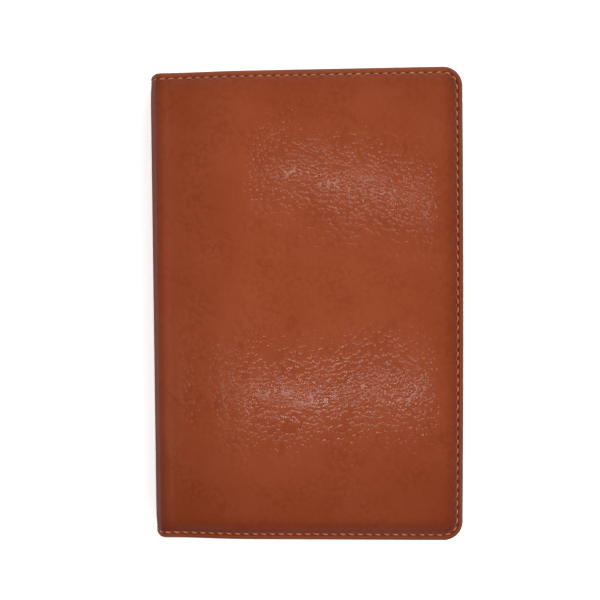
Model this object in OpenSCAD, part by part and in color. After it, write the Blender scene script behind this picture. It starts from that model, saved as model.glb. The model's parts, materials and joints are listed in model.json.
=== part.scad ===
// Padded leather cover for a pocket notebook, closed around its paper refill.
// X runs from the spine fold to the fore-edge, Y from tail to head and Z from the
// table up to the front face. The origin is on the table under the middle of the cover.
// A depth is a distance into the cover, square to its outer face.

/* [Cover] */
// Closed width, spine to fore-edge
cover_w = 145; // [120:1:175]
// Height, tail to head
cover_h = 220; // [180:1:265]
// Radius of the two fore-edge corners
corner_r = 9; // [6:0.5:14]
// Thickness of the outer leather
leather_t = 1.0; // [0.7:0.1:1.5]
// Thickness of the foam under the leather
foam_t = 0.8; // [0.6:0.1:1.4]
// Thickness of the stiffening boards
board_t = 1.2; // [1:0.1:1.8]
// Thickness of the lining cloth
lining_t = 0.4; // [0.3:0.05:0.7]
// Thickness of the thinned leather that is turned in at the edges
hem_t = 0.7; // [0.4:0.1:1]
// Width of the flat sewn margin around the padding
margin_w = 7; // [5.5:0.5:9]
// Distance from the cover's edge to the lining's edge
lining_inset = 1.8; // [1:0.1:2.2]

/* [Fold] */
// Radius that is left inside each fold, under all its layers
fold_inner_r = 0.5; // [0.3:0.1:2]
// Radius of the spine's gentle bow
spine_bow_r = 20; // [16:1:40]
// Length of the back panel's rise towards its fold
back_rise_run = 23; // [12:1:40]

/* [Stitching] */
// Distance from the cover's edge to the stitch line
stitch_inset = 2.8; // [2.6:0.1:3]
// Distance between stitches
stitch_pitch = 4.1; // [3:0.1:6]
// Length of one stitch that shows
stitch_len = 3.2; // [2:0.1:3.4]
// Width of the thread
thread_w = 0.6; // [0.4:0.1:0.8]
// Height of the thread above the leather
thread_t = 0.3; // [0.2:0.05:0.4]

/* [Refill] */
// Number of sewn sections in the page block
signature_count = 8; // [4:1:12]
// Thickness of one section
signature_t = 1.0; // [0.6:0.1:1.4]
// Thickness of the refill's card cover
card_t = 0.5; // [0.3:0.05:0.8]
// Distance that the cover stands past the pages at the head and at the tail
end_room = 5; // [4.7:0.1:9]
// Distance that the cover stands past the pages at the fore-edge
fore_room = 7.5; // [6:0.5:12]
// Distance that the card cover stands past the pages at the fore-edge
card_lap = 1; // [0:0.1:1.3]
// Radius of the page corners
page_corner_r = 6; // [4:0.5:10]
// Distance from the front fold to the spine edge of the pages
block_setback = 1.2; // [1:0.1:4]
// Thickness of the cloth tape on the page block's spine
tape_t = 0.4; // [0.2:0.1:0.6]
// Distance that the tape stops short of the pages' head and tail
tape_short = 1.5; // [0:0.5:5]
// Width of the paper strip that glues the pages to the card cover
hinge_strip_w = 10; // [6:1:20]

/* [Pockets] */
// Thickness of the leather sleeves
sleeve_t = 0.7; // [0.5:0.1:1]
// Width of the front sleeve
front_sleeve_w = 98; // [94:1:105]
// Width of the back sleeve
back_sleeve_w = 60; // [40:1:80]
// Width of the sleeve's sewn edge
sleeve_seam = 2.7; // [2.4:0.1:2.8]
// Number of card slots
slot_count = 3; // [1:1:4]
// Thickness of the leather of one card slot
slot_t = 0.6; // [0.4:0.1:0.8]
// Width of a card slot
slot_w = 88; // [87:0.5:90]
// Depth of the front card slot
slot_depth = 46; // [40:1:56]
// Distance between the mouths of neighbouring slots
slot_step = 13; // [8:1:18]
// Distance from the cover's tail to the foot of the slots
slot_foot = 24; // [12:1:60]
// Distance from a slot's edge to its stitch line
slot_stitch_inset = 1; // [0.8:0.1:1.2]

/* [Clearances] */
// Room on each side of the refill's card cover
layer_gap = 0.1; // [0.05:0.05:0.3]
// Room under the page block
block_gap = 0.1; // [0.05:0.05:0.3]
// Room over the page block
lid_gap = 0.5; // [0.4:0.1:1]
// Angle left open between the spine and each panel
fold_slit = 0.5; // [0.2:0.1:2]

/* [Hidden] */
$fn = 96;

// Depths of the layers, from the outside in
foam_d1 = leather_t + foam_t;
board_d1 = foam_d1 + board_t;
lining_d1 = board_d1 + lining_t;
card_d0 = lining_d1 + layer_gap;
card_d1 = card_d0 + card_t;
sleeve_d0 = card_d1 + layer_gap;
sleeve_d1 = sleeve_d0 + sleeve_t;
slots_d1 = sleeve_d1 + slot_count * slot_t;
sleeve_rim_d1 = lining_d1 + sleeve_t;

// The margin has no foam and no board, only the turned hem, so its face lies deeper
margin_drop = foam_t + board_t - hem_t;
riser_inset = margin_w - leather_t;
pocket_inset = lining_inset + sleeve_seam;

// Heights of the page block and of the whole cover
block_z0 = sleeve_d1 + block_gap;
block_z1 = block_z0 + signature_count * signature_t;
cover_t = block_z1 + lid_gap + slots_d1;

// Each panel closes up towards its fold by the thickness of the pockets it has lost
front_drop = slots_d1 - card_d1;
back_rise = sleeve_d1 - card_d1;

half_w = cover_w / 2;
half_h = cover_h / 2;
fold_r = card_d1 + fold_inner_r;

// The bow is one arc that runs tangent to both fold arcs. The front fold stands to the
// right of the back fold, so that both panels lie flat when the cover is open.
fold_dx = front_drop - back_rise;
fold_dz = cover_t - front_drop - back_rise - 2 * fold_r;
fold_span = norm([fold_dx, fold_dz]);
bow_reach = sqrt(pow(spine_bow_r - fold_r, 2) - pow(fold_span / 2, 2));
bow_normal = [-fold_dz, fold_dx] / fold_span;
fold_mid_x = -half_w + spine_bow_r + bow_reach * bow_normal[0];
back_fold = [fold_mid_x - fold_dx / 2, back_rise + fold_r];
front_fold = back_fold + [fold_dx, fold_dz];
bow_centre = (back_fold + front_fold) / 2 - bow_reach * bow_normal;
bow_a0 = arc_end_angle(back_fold);
bow_a1 = arc_end_angle(front_fold);
back_fold_a = 225;
front_fold_a = 135;

page_x0 = front_fold[0] + block_setback;
page_x1 = half_w - fore_room;
page_half_h = half_h - end_room;

front_mouth_x = half_w - lining_inset - front_sleeve_w;
back_mouth_x = half_w - lining_inset - back_sleeve_w;
slot_x0 = half_w - lining_inset - (front_sleeve_w + slot_w) / 2;
slot_y0 = -half_h + slot_foot;

// The stitch line: up the fore-edge from its middle, round the corner and along the head
seam_x = half_w - stitch_inset;
seam_r = corner_r - stitch_inset;
seam_rise = half_h - corner_r;
seam_bend = seam_r * PI / 2;

ease_steps = 12;
arc_steps = 8;
least_corner_r = 1;
overrun = 1;

slot_nodes = [for (i = [1:slot_count]) str("card_slot_", i)];
signature_nodes = [for (i = [1:signature_count]) str("signature_", i)];

leather_colour = [0.58, 0.28, 0.16];
sleeve_colour = [0.50, 0.23, 0.13];
foam_colour = [0.86, 0.84, 0.78];
board_colour = [0.55, 0.51, 0.45];
lining_colour = [0.42, 0.27, 0.18];
thread_colour = [0.72, 0.42, 0.20];
card_colour = [0.76, 0.63, 0.46];
page_colour = [0.96, 0.94, 0.87];
tape_colour = [0.30, 0.16, 0.10];

// ---- Section curves, as [x, z] points ----

function polar(centre, r, a) = centre + r * [cos(a), sin(a)];

// Points along an arc, without its first
function arc(centre, r, a0, a1) =
    [for (i = [1:arc_steps]) polar(centre, r, a0 + (a1 - a0) * i / arc_steps)];

// Where the bow's arc meets the arc of a fold
function arc_end_angle(fold) =
    180 + atan2(bow_centre[1] - fold[1], bow_centre[0] - fold[0]);

// A smooth rise from 0 to 1 and level at both ends
function ease(t) = (1 - cos(180 * t)) / 2;

function reversed(points) = [for (i = [len(points) - 1:-1:0]) points[i]];

// Curves at one depth under the outer face. A panel's curve starts at the fore-edge, eases
// towards its fold and turns half of the fold; the spine's curve turns the two other halves.
function front_curve(depth) = concat(
    [[half_w, cover_t - depth]],
    [for (i = [0:ease_steps]) let (t = i / ease_steps)
        [front_mouth_x + (front_fold[0] - front_mouth_x) * t,
         cover_t - front_drop * ease(t) - depth]],
    arc(front_fold, fold_r - depth, 90, front_fold_a)
);

function back_curve(depth) = concat(
    [[half_w, depth]],
    [for (i = [0:ease_steps]) let (t = i / ease_steps)
        [back_fold[0] + back_rise_run * (1 - t), back_rise * ease(t) + depth]],
    arc(back_fold, fold_r - depth, 270, back_fold_a)
);

function spine_curve(depth) = concat(
    [polar(back_fold, fold_r - depth, back_fold_a - fold_slit)],
    arc(back_fold, fold_r - depth, back_fold_a - fold_slit, bow_a0),
    arc(bow_centre, spine_bow_r - depth, bow_a0, bow_a1),
    arc(front_fold, fold_r - depth, bow_a1, front_fold_a + fold_slit)
);

function section_curve(side, depth) =
    side == "front" ? front_curve(depth) :
    side == "back" ? back_curve(depth) :
    spine_curve(depth);

// ---- Building blocks ----

// Extrudes an [x, z] section along Y, about the middle of the cover
module along_y(length) {
    rotate([90, 0, 0])
        linear_extrude(height = length, center = true)
            children();
}

// The section between two depths of the front, the back or the spine
module section(side, depth0, depth1) {
    polygon(concat(section_curve(side, depth0), reversed(section_curve(side, depth1))));
}

module band(side, depth0, depth1) {
    along_y(cover_h)
        section(side, depth0, depth1);
}

// Plan with square corners at its spine end x0 and round corners at its fore-edge end x1
module plan(x0, x1, half_length, r) {
    translate([x0, -half_length])
        square([x1 - r - x0, 2 * half_length]);
    translate([x0, r - half_length])
        square([x1 - x0, 2 * (half_length - r)]);
    for (side = [-1, 1]) {
        translate([x1 - r, side * (half_length - r)])
            circle(r);
    }
}

// Everything under a plan, from below the table to above the cover
module upright() {
    translate([0, 0, -overrun])
        linear_extrude(height = cover_t + 2 * overrun)
            children();
}

// The cover's own outline, moved in by an inset
module cover_plan(inset) {
    upright()
        plan(-cover_w, half_w - inset, half_h - inset, max(corner_r - inset, least_corner_r));
}

module layer(side, depth0, depth1, inset) {
    intersection() {
        band(side, depth0, depth1);
        cover_plan(inset);
    }
}

// Everything on the fore-edge side of x
module right_of(x) {
    upright()
        translate([x, -cover_h])
            square([cover_w, 2 * cover_h]);
}

// ---- Layers that the two panels and the spine share ----

// Leather skin with a raised panel, a lower sewn margin and a turned hem behind it
module leather(side) {
    color(leather_colour)
        difference() {
            layer(side, 0, board_d1, 0);
            difference() {
                band(side, -overrun, margin_drop);
                cover_plan(riser_inset);
            }
            layer(side, leather_t, board_d1 + overrun / 2, margin_w);
        }
}

module foam(side) {
    color(foam_colour)
        layer(side, leather_t, foam_d1, margin_w);
}

// The boards stop at the folds, where the cover bends
module panel_board(side, fold) {
    color(board_colour)
        intersection() {
            layer(side, foam_d1, board_d1, margin_w);
            right_of(fold[0]);
        }
}

module spine_board() {
    color(board_colour)
        intersection() {
            along_y(cover_h)
                polygon(concat(
                    arc(bow_centre, spine_bow_r - foam_d1, bow_a0, bow_a1),
                    reversed(arc(bow_centre, spine_bow_r - board_d1, bow_a0, bow_a1))
                ));
            cover_plan(margin_w);
        }
}

module lining(side) {
    color(lining_colour)
        layer(side, board_d1, lining_d1, lining_inset);
}

// ---- Sleeves and card slots ----

// A sleeve lies over the refill's card and steps down to the lining at its sewn edge
module sleeve(side, mouth_x) {
    color(sleeve_colour)
        intersection() {
            difference() {
                layer(side, lining_d1, sleeve_d1, lining_inset);
                layer(side, lining_d1 - overrun / 2, sleeve_d0, pocket_inset);
                difference() {
                    band(side, sleeve_rim_d1, sleeve_d1 + overrun / 2);
                    cover_plan(pocket_inset - sleeve_t);
                }
            }
            right_of(mouth_x);
        }
}

// Height of a slot above the slots' foot. Each slot's mouth is a step below the one behind it.
function slot_top(i) = slot_depth + (slot_count - i) * slot_step;

module card_slot(i) {
    color(sleeve_colour)
        intersection() {
            band("front", sleeve_d1 + (i - 1) * slot_t, sleeve_d1 + i * slot_t);
            upright()
                translate([slot_x0, slot_y0])
                    square([slot_w, slot_top(i)]);
        }
}

// ---- Stitching ----

// Place and heading of the stitch line at a distance s from the middle of the fore-edge
function seam_turn(s) = min(max((s - seam_rise) / seam_bend, 0), 1) * 90;
function seam_point(s) =
    s < seam_rise ? [seam_x, s] :
    s < seam_rise + seam_bend ? polar([seam_x - seam_r, seam_rise], seam_r, seam_turn(s)) :
    [seam_x - seam_r - (s - seam_rise - seam_bend), seam_rise + seam_r];

module stitch() {
    square([stitch_len, thread_w], center = true);
}

// The stitches of one panel's seam, from the fore-edge to the fold at both ends
module seam_stitches(fold) {
    seam_length = seam_rise + seam_bend + seam_x - seam_r - fold[0];
    upright()
        for (i = [0:floor(seam_length / stitch_pitch) - 1], side = [-1, 1]) {
            s = (i + 0.5) * stitch_pitch;
            translate([seam_point(s)[0], side * seam_point(s)[1]])
                rotate(side * (90 + seam_turn(s)))
                    stitch();
        }
}

// Thread on the outer margin, on the lining and, past the sleeve's mouth, on the sleeve
module panel_thread(side, fold, mouth_x) {
    color(thread_colour) {
        intersection() {
            seam_stitches(fold);
            band(side, margin_drop - thread_t, margin_drop);
        }
        difference() {
            intersection() {
                seam_stitches(fold);
                band(side, lining_d1, lining_d1 + thread_t);
            }
            right_of(mouth_x);
        }
        intersection() {
            seam_stitches(fold);
            band(side, sleeve_rim_d1, sleeve_rim_d1 + thread_t);
            right_of(mouth_x);
        }
    }
}

// Thread on the outside and the inside of the spine's bow, at the head and at the tail
module spine_thread() {
    outer_r = spine_bow_r - margin_drop;
    inner_r = spine_bow_r - lining_d1;
    bow = bow_a0 - bow_a1;
    count = floor(bow * PI / 180 * outer_r / stitch_pitch);
    half_stitch = stitch_len / outer_r * 90 / PI;
    color(thread_colour)
        for (end = [-1, 1], i = [0:count - 1], r = [outer_r, inner_r - thread_t]) {
            a = bow_a1 + bow * (i + 0.5) / count;
            translate([0, end * (half_h - stitch_inset), 0])
                along_y(thread_w)
                    polygon(concat(
                        arc(bow_centre, r, a - half_stitch, a + half_stitch),
                        reversed(arc(bow_centre, r + thread_t, a - half_stitch, a + half_stitch))
                    ));
        }
}

// Thread down both sides of the front slot and along its foot
module slot_thread() {
    across = floor((slot_w - 2 * slot_stitch_inset) / stitch_pitch);
    up = floor((slot_depth - 2 * slot_stitch_inset) / stitch_pitch);
    color(thread_colour)
        intersection() {
            band("front", slots_d1, slots_d1 + thread_t);
            upright()
                translate([slot_x0 + slot_w / 2, slot_y0 + slot_stitch_inset]) {
                    for (i = [0:across - 1])
                        translate([(i - (across - 1) / 2) * stitch_pitch, 0])
                            stitch();
                    for (i = [0:up - 1], side = [-1, 1])
                        translate([side * (slot_w / 2 - slot_stitch_inset), (i + 0.5) * stitch_pitch])
                            rotate(90)
                                stitch();
                }
        }
}

// ---- Refill ----

module refill_plan(x1) {
    upright()
        plan(-cover_w, x1, page_half_h, page_corner_r);
}

// The card cover wraps the page block in three parts: back, spine and front
module refill_cover(side) {
    color(card_colour)
        intersection() {
            band(side, card_d0, card_d1);
            refill_plan(page_x1 + card_lap);
        }
}

// Folded and sewn sheets, with the edges of the fold rounded
module signature(i) {
    z0 = block_z0 + (i - 1) * signature_t;
    fold_edge_r = signature_t / 3;
    color(page_colour)
        intersection() {
            along_y(2 * page_half_h)
                polygon(concat(
                    [[page_x1, z0 + signature_t]],
                    [[page_x0 + fold_edge_r, z0 + signature_t]],
                    arc([page_x0 + fold_edge_r, z0 + signature_t - fold_edge_r], fold_edge_r, 90, 180),
                    [[page_x0, z0 + fold_edge_r]],
                    arc([page_x0 + fold_edge_r, z0 + fold_edge_r], fold_edge_r, 180, 270),
                    [[page_x1, z0]]
                ));
            refill_plan(page_x1);
        }
}

module refill_spine_tape() {
    color(tape_colour)
        translate([page_x0 - tape_t, tape_short - page_half_h, block_z0])
            cube([tape_t, 2 * (page_half_h - tape_short), block_z1 - block_z0]);
}

// Fills the wedge between the card cover and the first pages, beside the fold
module refill_hinge_strip() {
    color(page_colour)
        along_y(2 * (page_half_h - tape_short))
            intersection() {
                section("back", card_d1, block_z0);
                translate([page_x0, 0])
                    square([hinge_strip_w, block_z0]);
            }
}

// ---- The parts ----

leather("back");  // back_leather
foam("back");  // back_foam
panel_board("back", back_fold);  // back_board
lining("back");  // back_lining
sleeve("back", back_mouth_x);  // back_sleeve
panel_thread("back", back_fold, back_mouth_x);  // back_thread
refill_cover("back");  // refill_back_cover
refill_hinge_strip();
refill_spine_tape();
for (i = [1:signature_count]) {
    signature(i);
}
leather("spine");  // spine_leather
foam("spine");  // spine_foam
spine_board();
lining("spine");  // spine_lining
spine_thread();
refill_cover("spine");  // refill_spine_cover
leather("front");  // front_leather
foam("front");  // front_foam
panel_board("front", front_fold);  // front_board
lining("front");  // front_lining
sleeve("front", front_mouth_x);  // front_sleeve
panel_thread("front", front_fold, front_mouth_x);  // front_thread
for (i = [1:slot_count]) {
    card_slot(i);
}
slot_thread();
refill_cover("front");  // refill_front_cover
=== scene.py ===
"""A padded leather notebook cover, closed around its refill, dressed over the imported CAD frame."""

import json
import logging
import math
from dataclasses import dataclass, field
from enum import Enum
from typing import Callable, ClassVar, Sequence

import bpy
import numpy as np
from mathutils import Matrix, Vector


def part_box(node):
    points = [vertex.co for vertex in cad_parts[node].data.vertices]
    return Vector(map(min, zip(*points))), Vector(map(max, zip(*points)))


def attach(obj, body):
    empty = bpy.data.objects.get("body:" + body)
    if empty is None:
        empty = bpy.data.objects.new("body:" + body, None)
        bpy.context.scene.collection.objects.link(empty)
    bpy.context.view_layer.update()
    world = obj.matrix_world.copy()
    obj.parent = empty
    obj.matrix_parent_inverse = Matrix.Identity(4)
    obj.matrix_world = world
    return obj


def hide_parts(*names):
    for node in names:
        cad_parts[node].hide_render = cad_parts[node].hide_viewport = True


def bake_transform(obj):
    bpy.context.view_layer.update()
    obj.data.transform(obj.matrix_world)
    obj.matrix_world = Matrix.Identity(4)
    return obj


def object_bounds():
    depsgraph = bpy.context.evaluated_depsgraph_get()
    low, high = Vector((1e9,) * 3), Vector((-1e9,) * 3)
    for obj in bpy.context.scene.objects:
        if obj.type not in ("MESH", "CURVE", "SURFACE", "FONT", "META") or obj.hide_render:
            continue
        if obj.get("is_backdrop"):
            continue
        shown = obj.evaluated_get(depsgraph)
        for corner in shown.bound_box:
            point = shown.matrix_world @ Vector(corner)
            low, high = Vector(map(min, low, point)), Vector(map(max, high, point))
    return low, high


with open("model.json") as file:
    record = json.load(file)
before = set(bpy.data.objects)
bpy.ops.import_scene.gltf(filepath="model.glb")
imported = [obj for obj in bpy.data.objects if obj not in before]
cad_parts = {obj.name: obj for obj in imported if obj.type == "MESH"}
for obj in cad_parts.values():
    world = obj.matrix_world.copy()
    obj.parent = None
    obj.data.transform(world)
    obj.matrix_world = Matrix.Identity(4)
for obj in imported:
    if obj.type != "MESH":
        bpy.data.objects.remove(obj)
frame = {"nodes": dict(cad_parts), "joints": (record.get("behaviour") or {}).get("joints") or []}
CAD_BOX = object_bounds()

LOG = logging.getLogger("notebook_cover")
MM = 0.001
Array = np.ndarray
Socket = bpy.types.NodeSocket
Colour = tuple[float, float, float]


class Side(Enum):
    """The two halves of the cover, which meet at the middle of the spine."""

    FRONT = "front"
    BACK = "back"

    @property
    def sign(self) -> int:
        """Direction of this half in the unrolled cover: +1 for the front, -1 for the back."""
        return 1 if self is Side.FRONT else -1


# ---------------------------------------------------------------- sizes and curves


@dataclass(frozen=True)
class CoverSizes:
    """Sizes of the cover, in metres.

    Depths run from the outer face inwards, and a layer's d0 and d1 are the depths of its two
    faces. Insets run from the edge inwards. A ramp is the length over which a size changes.
    """

    width: float
    height: float
    thickness: float
    front_pivot: Vector
    back_pivot: Vector
    front_mouth: float
    back_mouth: float
    corner_r: float = 9 * MM
    bow_r: float = 20 * MM
    fold_r: float = 4.5 * MM
    back_rise_run: float = 23 * MM
    leather_t: float = 1.0 * MM
    lining_d0: float = 3.0 * MM
    lining_d1: float = 3.4 * MM
    card_d0: float = 3.5 * MM
    card_d1: float = 4.0 * MM
    sleeve_d0: float = 4.1 * MM
    sleeve_d1: float = 4.8 * MM
    sleeve_rim_d1: float = 4.1 * MM
    margin_drop: float = 0.9 * MM
    spine_drop: float = 0.4 * MM
    drop_start: float = 6 * MM
    drop_ramp: float = 14 * MM
    lining_inset: float = 1.8 * MM
    pocket_inset: float = 4.5 * MM
    stitch_inset: float = 2.8 * MM
    stitch_pitch: float = 4.1 * MM
    end_pull: float = 1.9 * MM
    spine_pull: float = 0.3 * MM
    spine_pull_ramp: float = 9 * MM
    fore_bow: float = 0.5 * MM
    fore_bow_middle: float = 0.6

    @classmethod
    def from_frame(cls) -> "CoverSizes":
        """Reads the sizes that the CAD nodes and joints give.

        Returns:
            The cover's sizes.
        """
        low, high = CAD_BOX
        joints = {joint["name"]: Vector(joint["pos_m"]) for joint in frame["joints"]}
        return cls(
            width=high.x - low.x,
            height=high.y - low.y,
            thickness=high.z,
            front_pivot=joints["front_fold"],
            back_pivot=joints["spine_fold"],
            front_mouth=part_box("front_sleeve")[0].x,
            back_mouth=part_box("back_sleeve")[0].x,
        )

    @property
    def fore_x(self) -> float:
        """X of the fore-edge."""
        return self.width / 2

    @property
    def half_h(self) -> float:
        """Half of the height."""
        return self.height / 2

    def pivot(self, side: Side) -> Vector:
        """The joint's place at a half's fold."""
        return self.front_pivot if side is Side.FRONT else self.back_pivot

    def mouth(self, side: Side) -> float:
        """X of a half's sleeve mouth."""
        return self.front_mouth if side is Side.FRONT else self.back_mouth

    def fold_centre(self, side: Side) -> Array:
        """Centre of a fold's arc, on which the pivot lies at 45 degrees.

        Args:
            side: which half's fold.

        Returns:
            X and Z of the centre.
        """
        reach = self.fold_r * math.cos(math.radians(45))
        pivot = self.pivot(side)
        return np.array([pivot.x + reach, pivot.z - side.sign * reach])


def smooth(t: Array) -> Array:
    """Smoothstep: 3t^2 - 2t^3 with t held between 0 and 1."""
    t = np.clip(t, 0, 1)
    return t * t * (3 - 2 * t)


def bell(x: Array, width: float) -> Array:
    """A bell curve: exp of minus the square of x over width."""
    return np.exp(-((x / width) ** 2))


def spread(count: int, first: float, last: float) -> Array:
    """count values from first to last, evenly."""
    return first + (last - first) * np.linspace(0, 1, count)


class Section:
    """The cover's outer face in the XZ plane, unrolled into a length u for each half.

    u is 0 at the middle of the spine's bow. The curve is made of the bow's arc, the fold's arc,
    a cosine ease and a straight run to the fore-edge, each sampled finely.
    """

    SAMPLES = 240
    STRAIGHT_SAMPLES = 20

    def __init__(self, sizes: CoverSizes) -> None:
        """Places the bow's circle, which both folds' circles touch from inside, and traces the face.

        Args:
            sizes: the cover's sizes.
        """
        self.sizes = sizes
        front, back = sizes.fold_centre(Side.FRONT), sizes.fold_centre(Side.BACK)
        chord = front - back
        span = np.linalg.norm(chord)
        normal = np.array([-chord[1], chord[0]]) / span
        reach = math.sqrt((sizes.bow_r - sizes.fold_r) ** 2 - (span / 2) ** 2)
        self.bow_centre = (front + back) / 2 - reach * normal
        self.curves = {side: self._trace(side) for side in Side}

    def _trace(self, side: Side) -> dict[str, Array]:
        """Samples one half from the middle of the bow to the fore-edge.

        Args:
            side: which half.

        Returns:
            u, points and outward normals along the half.
        """
        s = self.sizes
        angles = {k: self._bow_end(k) for k in Side}
        middle = sum(angles.values()) / 2
        flat_angle = math.radians(90 if side is Side.FRONT else 270)
        centre = s.fold_centre(side)
        bow = self._arc(self.bow_centre, s.bow_r, middle, angles[side])
        fold = self._arc(centre, s.fold_r, angles[side], flat_angle)
        if side is Side.FRONT:
            run_x, level = s.front_mouth, s.thickness
            drop = centre[1] + s.fold_r - s.thickness
        else:
            run_x, level = centre[0] + s.back_rise_run, 0.0
            drop = centre[1] - s.fold_r
        t = np.linspace(0, 1, self.SAMPLES)
        ease_x = centre[0] + (run_x - centre[0]) * t
        ease_z = level + drop * (1 + np.cos(np.pi * t)) / 2
        ease = np.stack([ease_x, ease_z], 1)
        straight_x = np.linspace(run_x, s.fore_x, self.STRAIGHT_SAMPLES)
        straight = np.stack([straight_x, np.full(self.STRAIGHT_SAMPLES, level)], 1)
        points = np.concatenate([bow, fold[1:], ease[1:], straight[1:]])
        steps = np.linalg.norm(np.diff(points, axis=0), axis=1)
        u = np.concatenate([[0], np.cumsum(steps)])
        tangent = np.gradient(points, u, axis=0)
        tangent /= np.linalg.norm(tangent, axis=1)[:, None]
        normal = np.stack([-tangent[:, 1], tangent[:, 0]], 1) * side.sign
        return {"u": u, "points": points, "normals": normal}

    def _bow_end(self, side: Side) -> float:
        """Angle at which the bow meets a fold's arc."""
        x, z = self.bow_centre - self.sizes.fold_centre(side)
        return math.pi + math.atan2(z, x)

    def _arc(self, centre: Array, r: float, a0: float, a1: float) -> Array:
        """Points of an arc: the centre plus r times the unit vector at each angle."""
        a = np.linspace(a0, a1, self.SAMPLES // 2)
        return centre + r * np.stack([np.cos(a), np.sin(a)], 1)

    def length(self, side: Side) -> float:
        """Unrolled length of a half, from the middle of the spine to the fore-edge."""
        return float(self.curves[side]["u"][-1])

    def u_at(self, side: Side, x: float) -> float:
        """Finds the panel's length u at x, on the part past the fold.

        Args:
            side: which half.
            x: the place across the cover.

        Returns:
            The length u.
        """
        curve = self.curves[side]
        panel = curve["points"][:, 0] >= self.sizes.fold_centre(side)[0]
        return float(np.interp(x, curve["points"][panel, 0], curve["u"][panel]))

    def place(self, side: Side, u: Array, y: Array, depth: Array) -> Array:
        """Maps unrolled places to the row frame.

        The point is the face's point at u, less the depth times the outward normal. The head and
        the tail draw in evenly towards the spine, and once more over the spine's bow. The
        fore-edge bows by fore_bow times fore_bow_middle less the square of y over the half
        height, and that fades as the square of u over the half's length.

        Args:
            side: which half.
            u: unrolled lengths.
            y: places along the height.
            depth: depths under the outer face.

        Returns:
            An array of points, one row each.
        """
        u, y, depth = np.broadcast_arrays(u, y, depth)
        curve = self.curves[side]
        at = [np.interp(u, curve["u"], curve[k][:, j]) for k in ("points", "normals") for j in (0, 1)]
        s, along = self.sizes, u / self.length(side)
        pull = s.end_pull * (1 - along) + s.spine_pull * (1 - smooth(u / s.spine_pull_ramp))
        bow = s.fore_bow * (s.fore_bow_middle - (y / s.half_h) ** 2) * along ** 2
        return np.stack([at[0] - depth * at[2] + bow, y * (1 - pull / s.half_h),
                         at[1] - depth * at[3]], -1)

    def margin_depth(self, u: Array) -> Array:
        """Depth of the sewn margin: less round the spine, where the pad is thinner."""
        s = self.sizes
        return s.spine_drop + (s.margin_drop - s.spine_drop) * smooth((u - s.drop_start) / s.drop_ramp)


@dataclass(frozen=True)
class Outline:
    """A half's outline: square at u0, round-cornered at u1, the same above and below y = 0.

    Each sample keeps a place f along the head edge (0 to 1), a turn phi round the corner and a
    place g down the fore-edge (1 to 0). A ring at an inset d is then
    u = u0 + f (cu - u0) + r cos(phi), y = g cy + r sin(phi), with cu, cy the corner's centre.
    """

    u0: float
    u1: float
    half_h: float
    corner_r: float
    step: float
    least_r: float = 1.5 * MM

    @property
    def _arrays(self) -> tuple[Array, Array, Array]:
        """Lays out the samples from the head's fold end round to the tail's.

        Returns:
            f, g and phi of every sample.
        """
        head = max(int((self.u1 - self.u0 - self.corner_r) / self.step), 2)
        turn = max(int(self.corner_r * math.pi / 2 / self.step), 4)
        down = max(int((self.half_h - self.corner_r) / self.step), 2)
        f = np.concatenate([np.linspace(0, 1, head + 1), np.ones(turn + down)])
        phi = np.concatenate([np.full(head, 90.0), np.linspace(90, 0, turn + 1), np.zeros(down)])
        g = np.concatenate([np.ones(head + turn + 1), 1 - (np.arange(down) + 1) / (down + 0.5)])
        return (
            np.concatenate([f, f[::-1]]),
            np.concatenate([g, -g[::-1]]),
            np.radians(np.concatenate([phi, -phi[::-1]])),
        )

    def ring(self, du: float, dy: float) -> tuple[Array, Array]:
        """Works out one ring.

        Args:
            du: inset from the fore-edge.
            dy: inset from the head and the tail.

        Returns:
            u and y of every sample.
        """
        f, g, phi = self._arrays
        r = max(self.corner_r - min(du, dy), self.least_r)
        cu, cy = self.u1 - du - r, self.half_h - dy - r
        return self.u0 + f * (cu - self.u0) + r * np.cos(phi), g * cy + r * np.sin(phi)

    def seam_lengths(self, inset: float) -> Array:
        """Measures along a ring from the middle of the fore-edge.

        Args:
            inset: the ring's inset all round.

        Returns:
            The length at every sample.
        """
        u, y = self.ring(inset, inset)
        steps = np.hypot(np.diff(u), np.diff(y))
        run = np.concatenate([[0], np.cumsum(steps)])
        return np.abs(run - run[-1] / 2)

    def seam_total(self, inset: float) -> float:
        """Length of the ring from the middle of the fore-edge to u0."""
        r = self.corner_r - inset
        return self.half_h - self.corner_r + r * math.pi / 2 + self.u1 - self.corner_r - self.u0

    def at(self, p: Array, end: Array, inset: float, lateral: Array) -> tuple[Array, Array]:
        """A place p along the seam at an inset, moved inwards by lateral.

        Args:
            p: length along the seam from the middle of the fore-edge.
            end: +1 towards the head, -1 towards the tail.
            inset: the seam's inset.
            lateral: distance further in from the edge.

        Returns:
            u and y.
        """
        r = self.corner_r - inset
        rise = self.half_h - self.corner_r
        phi = np.clip((p - rise) / r, 0, math.pi / 2)
        past = np.clip(p - rise - r * math.pi / 2, 0, None)
        out = r - lateral
        u = self.u1 - self.corner_r + out * np.cos(phi) - past
        y = np.minimum(p, rise) + out * np.sin(phi)
        return u, y * end


# ---------------------------------------------------------------- meshes


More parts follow.
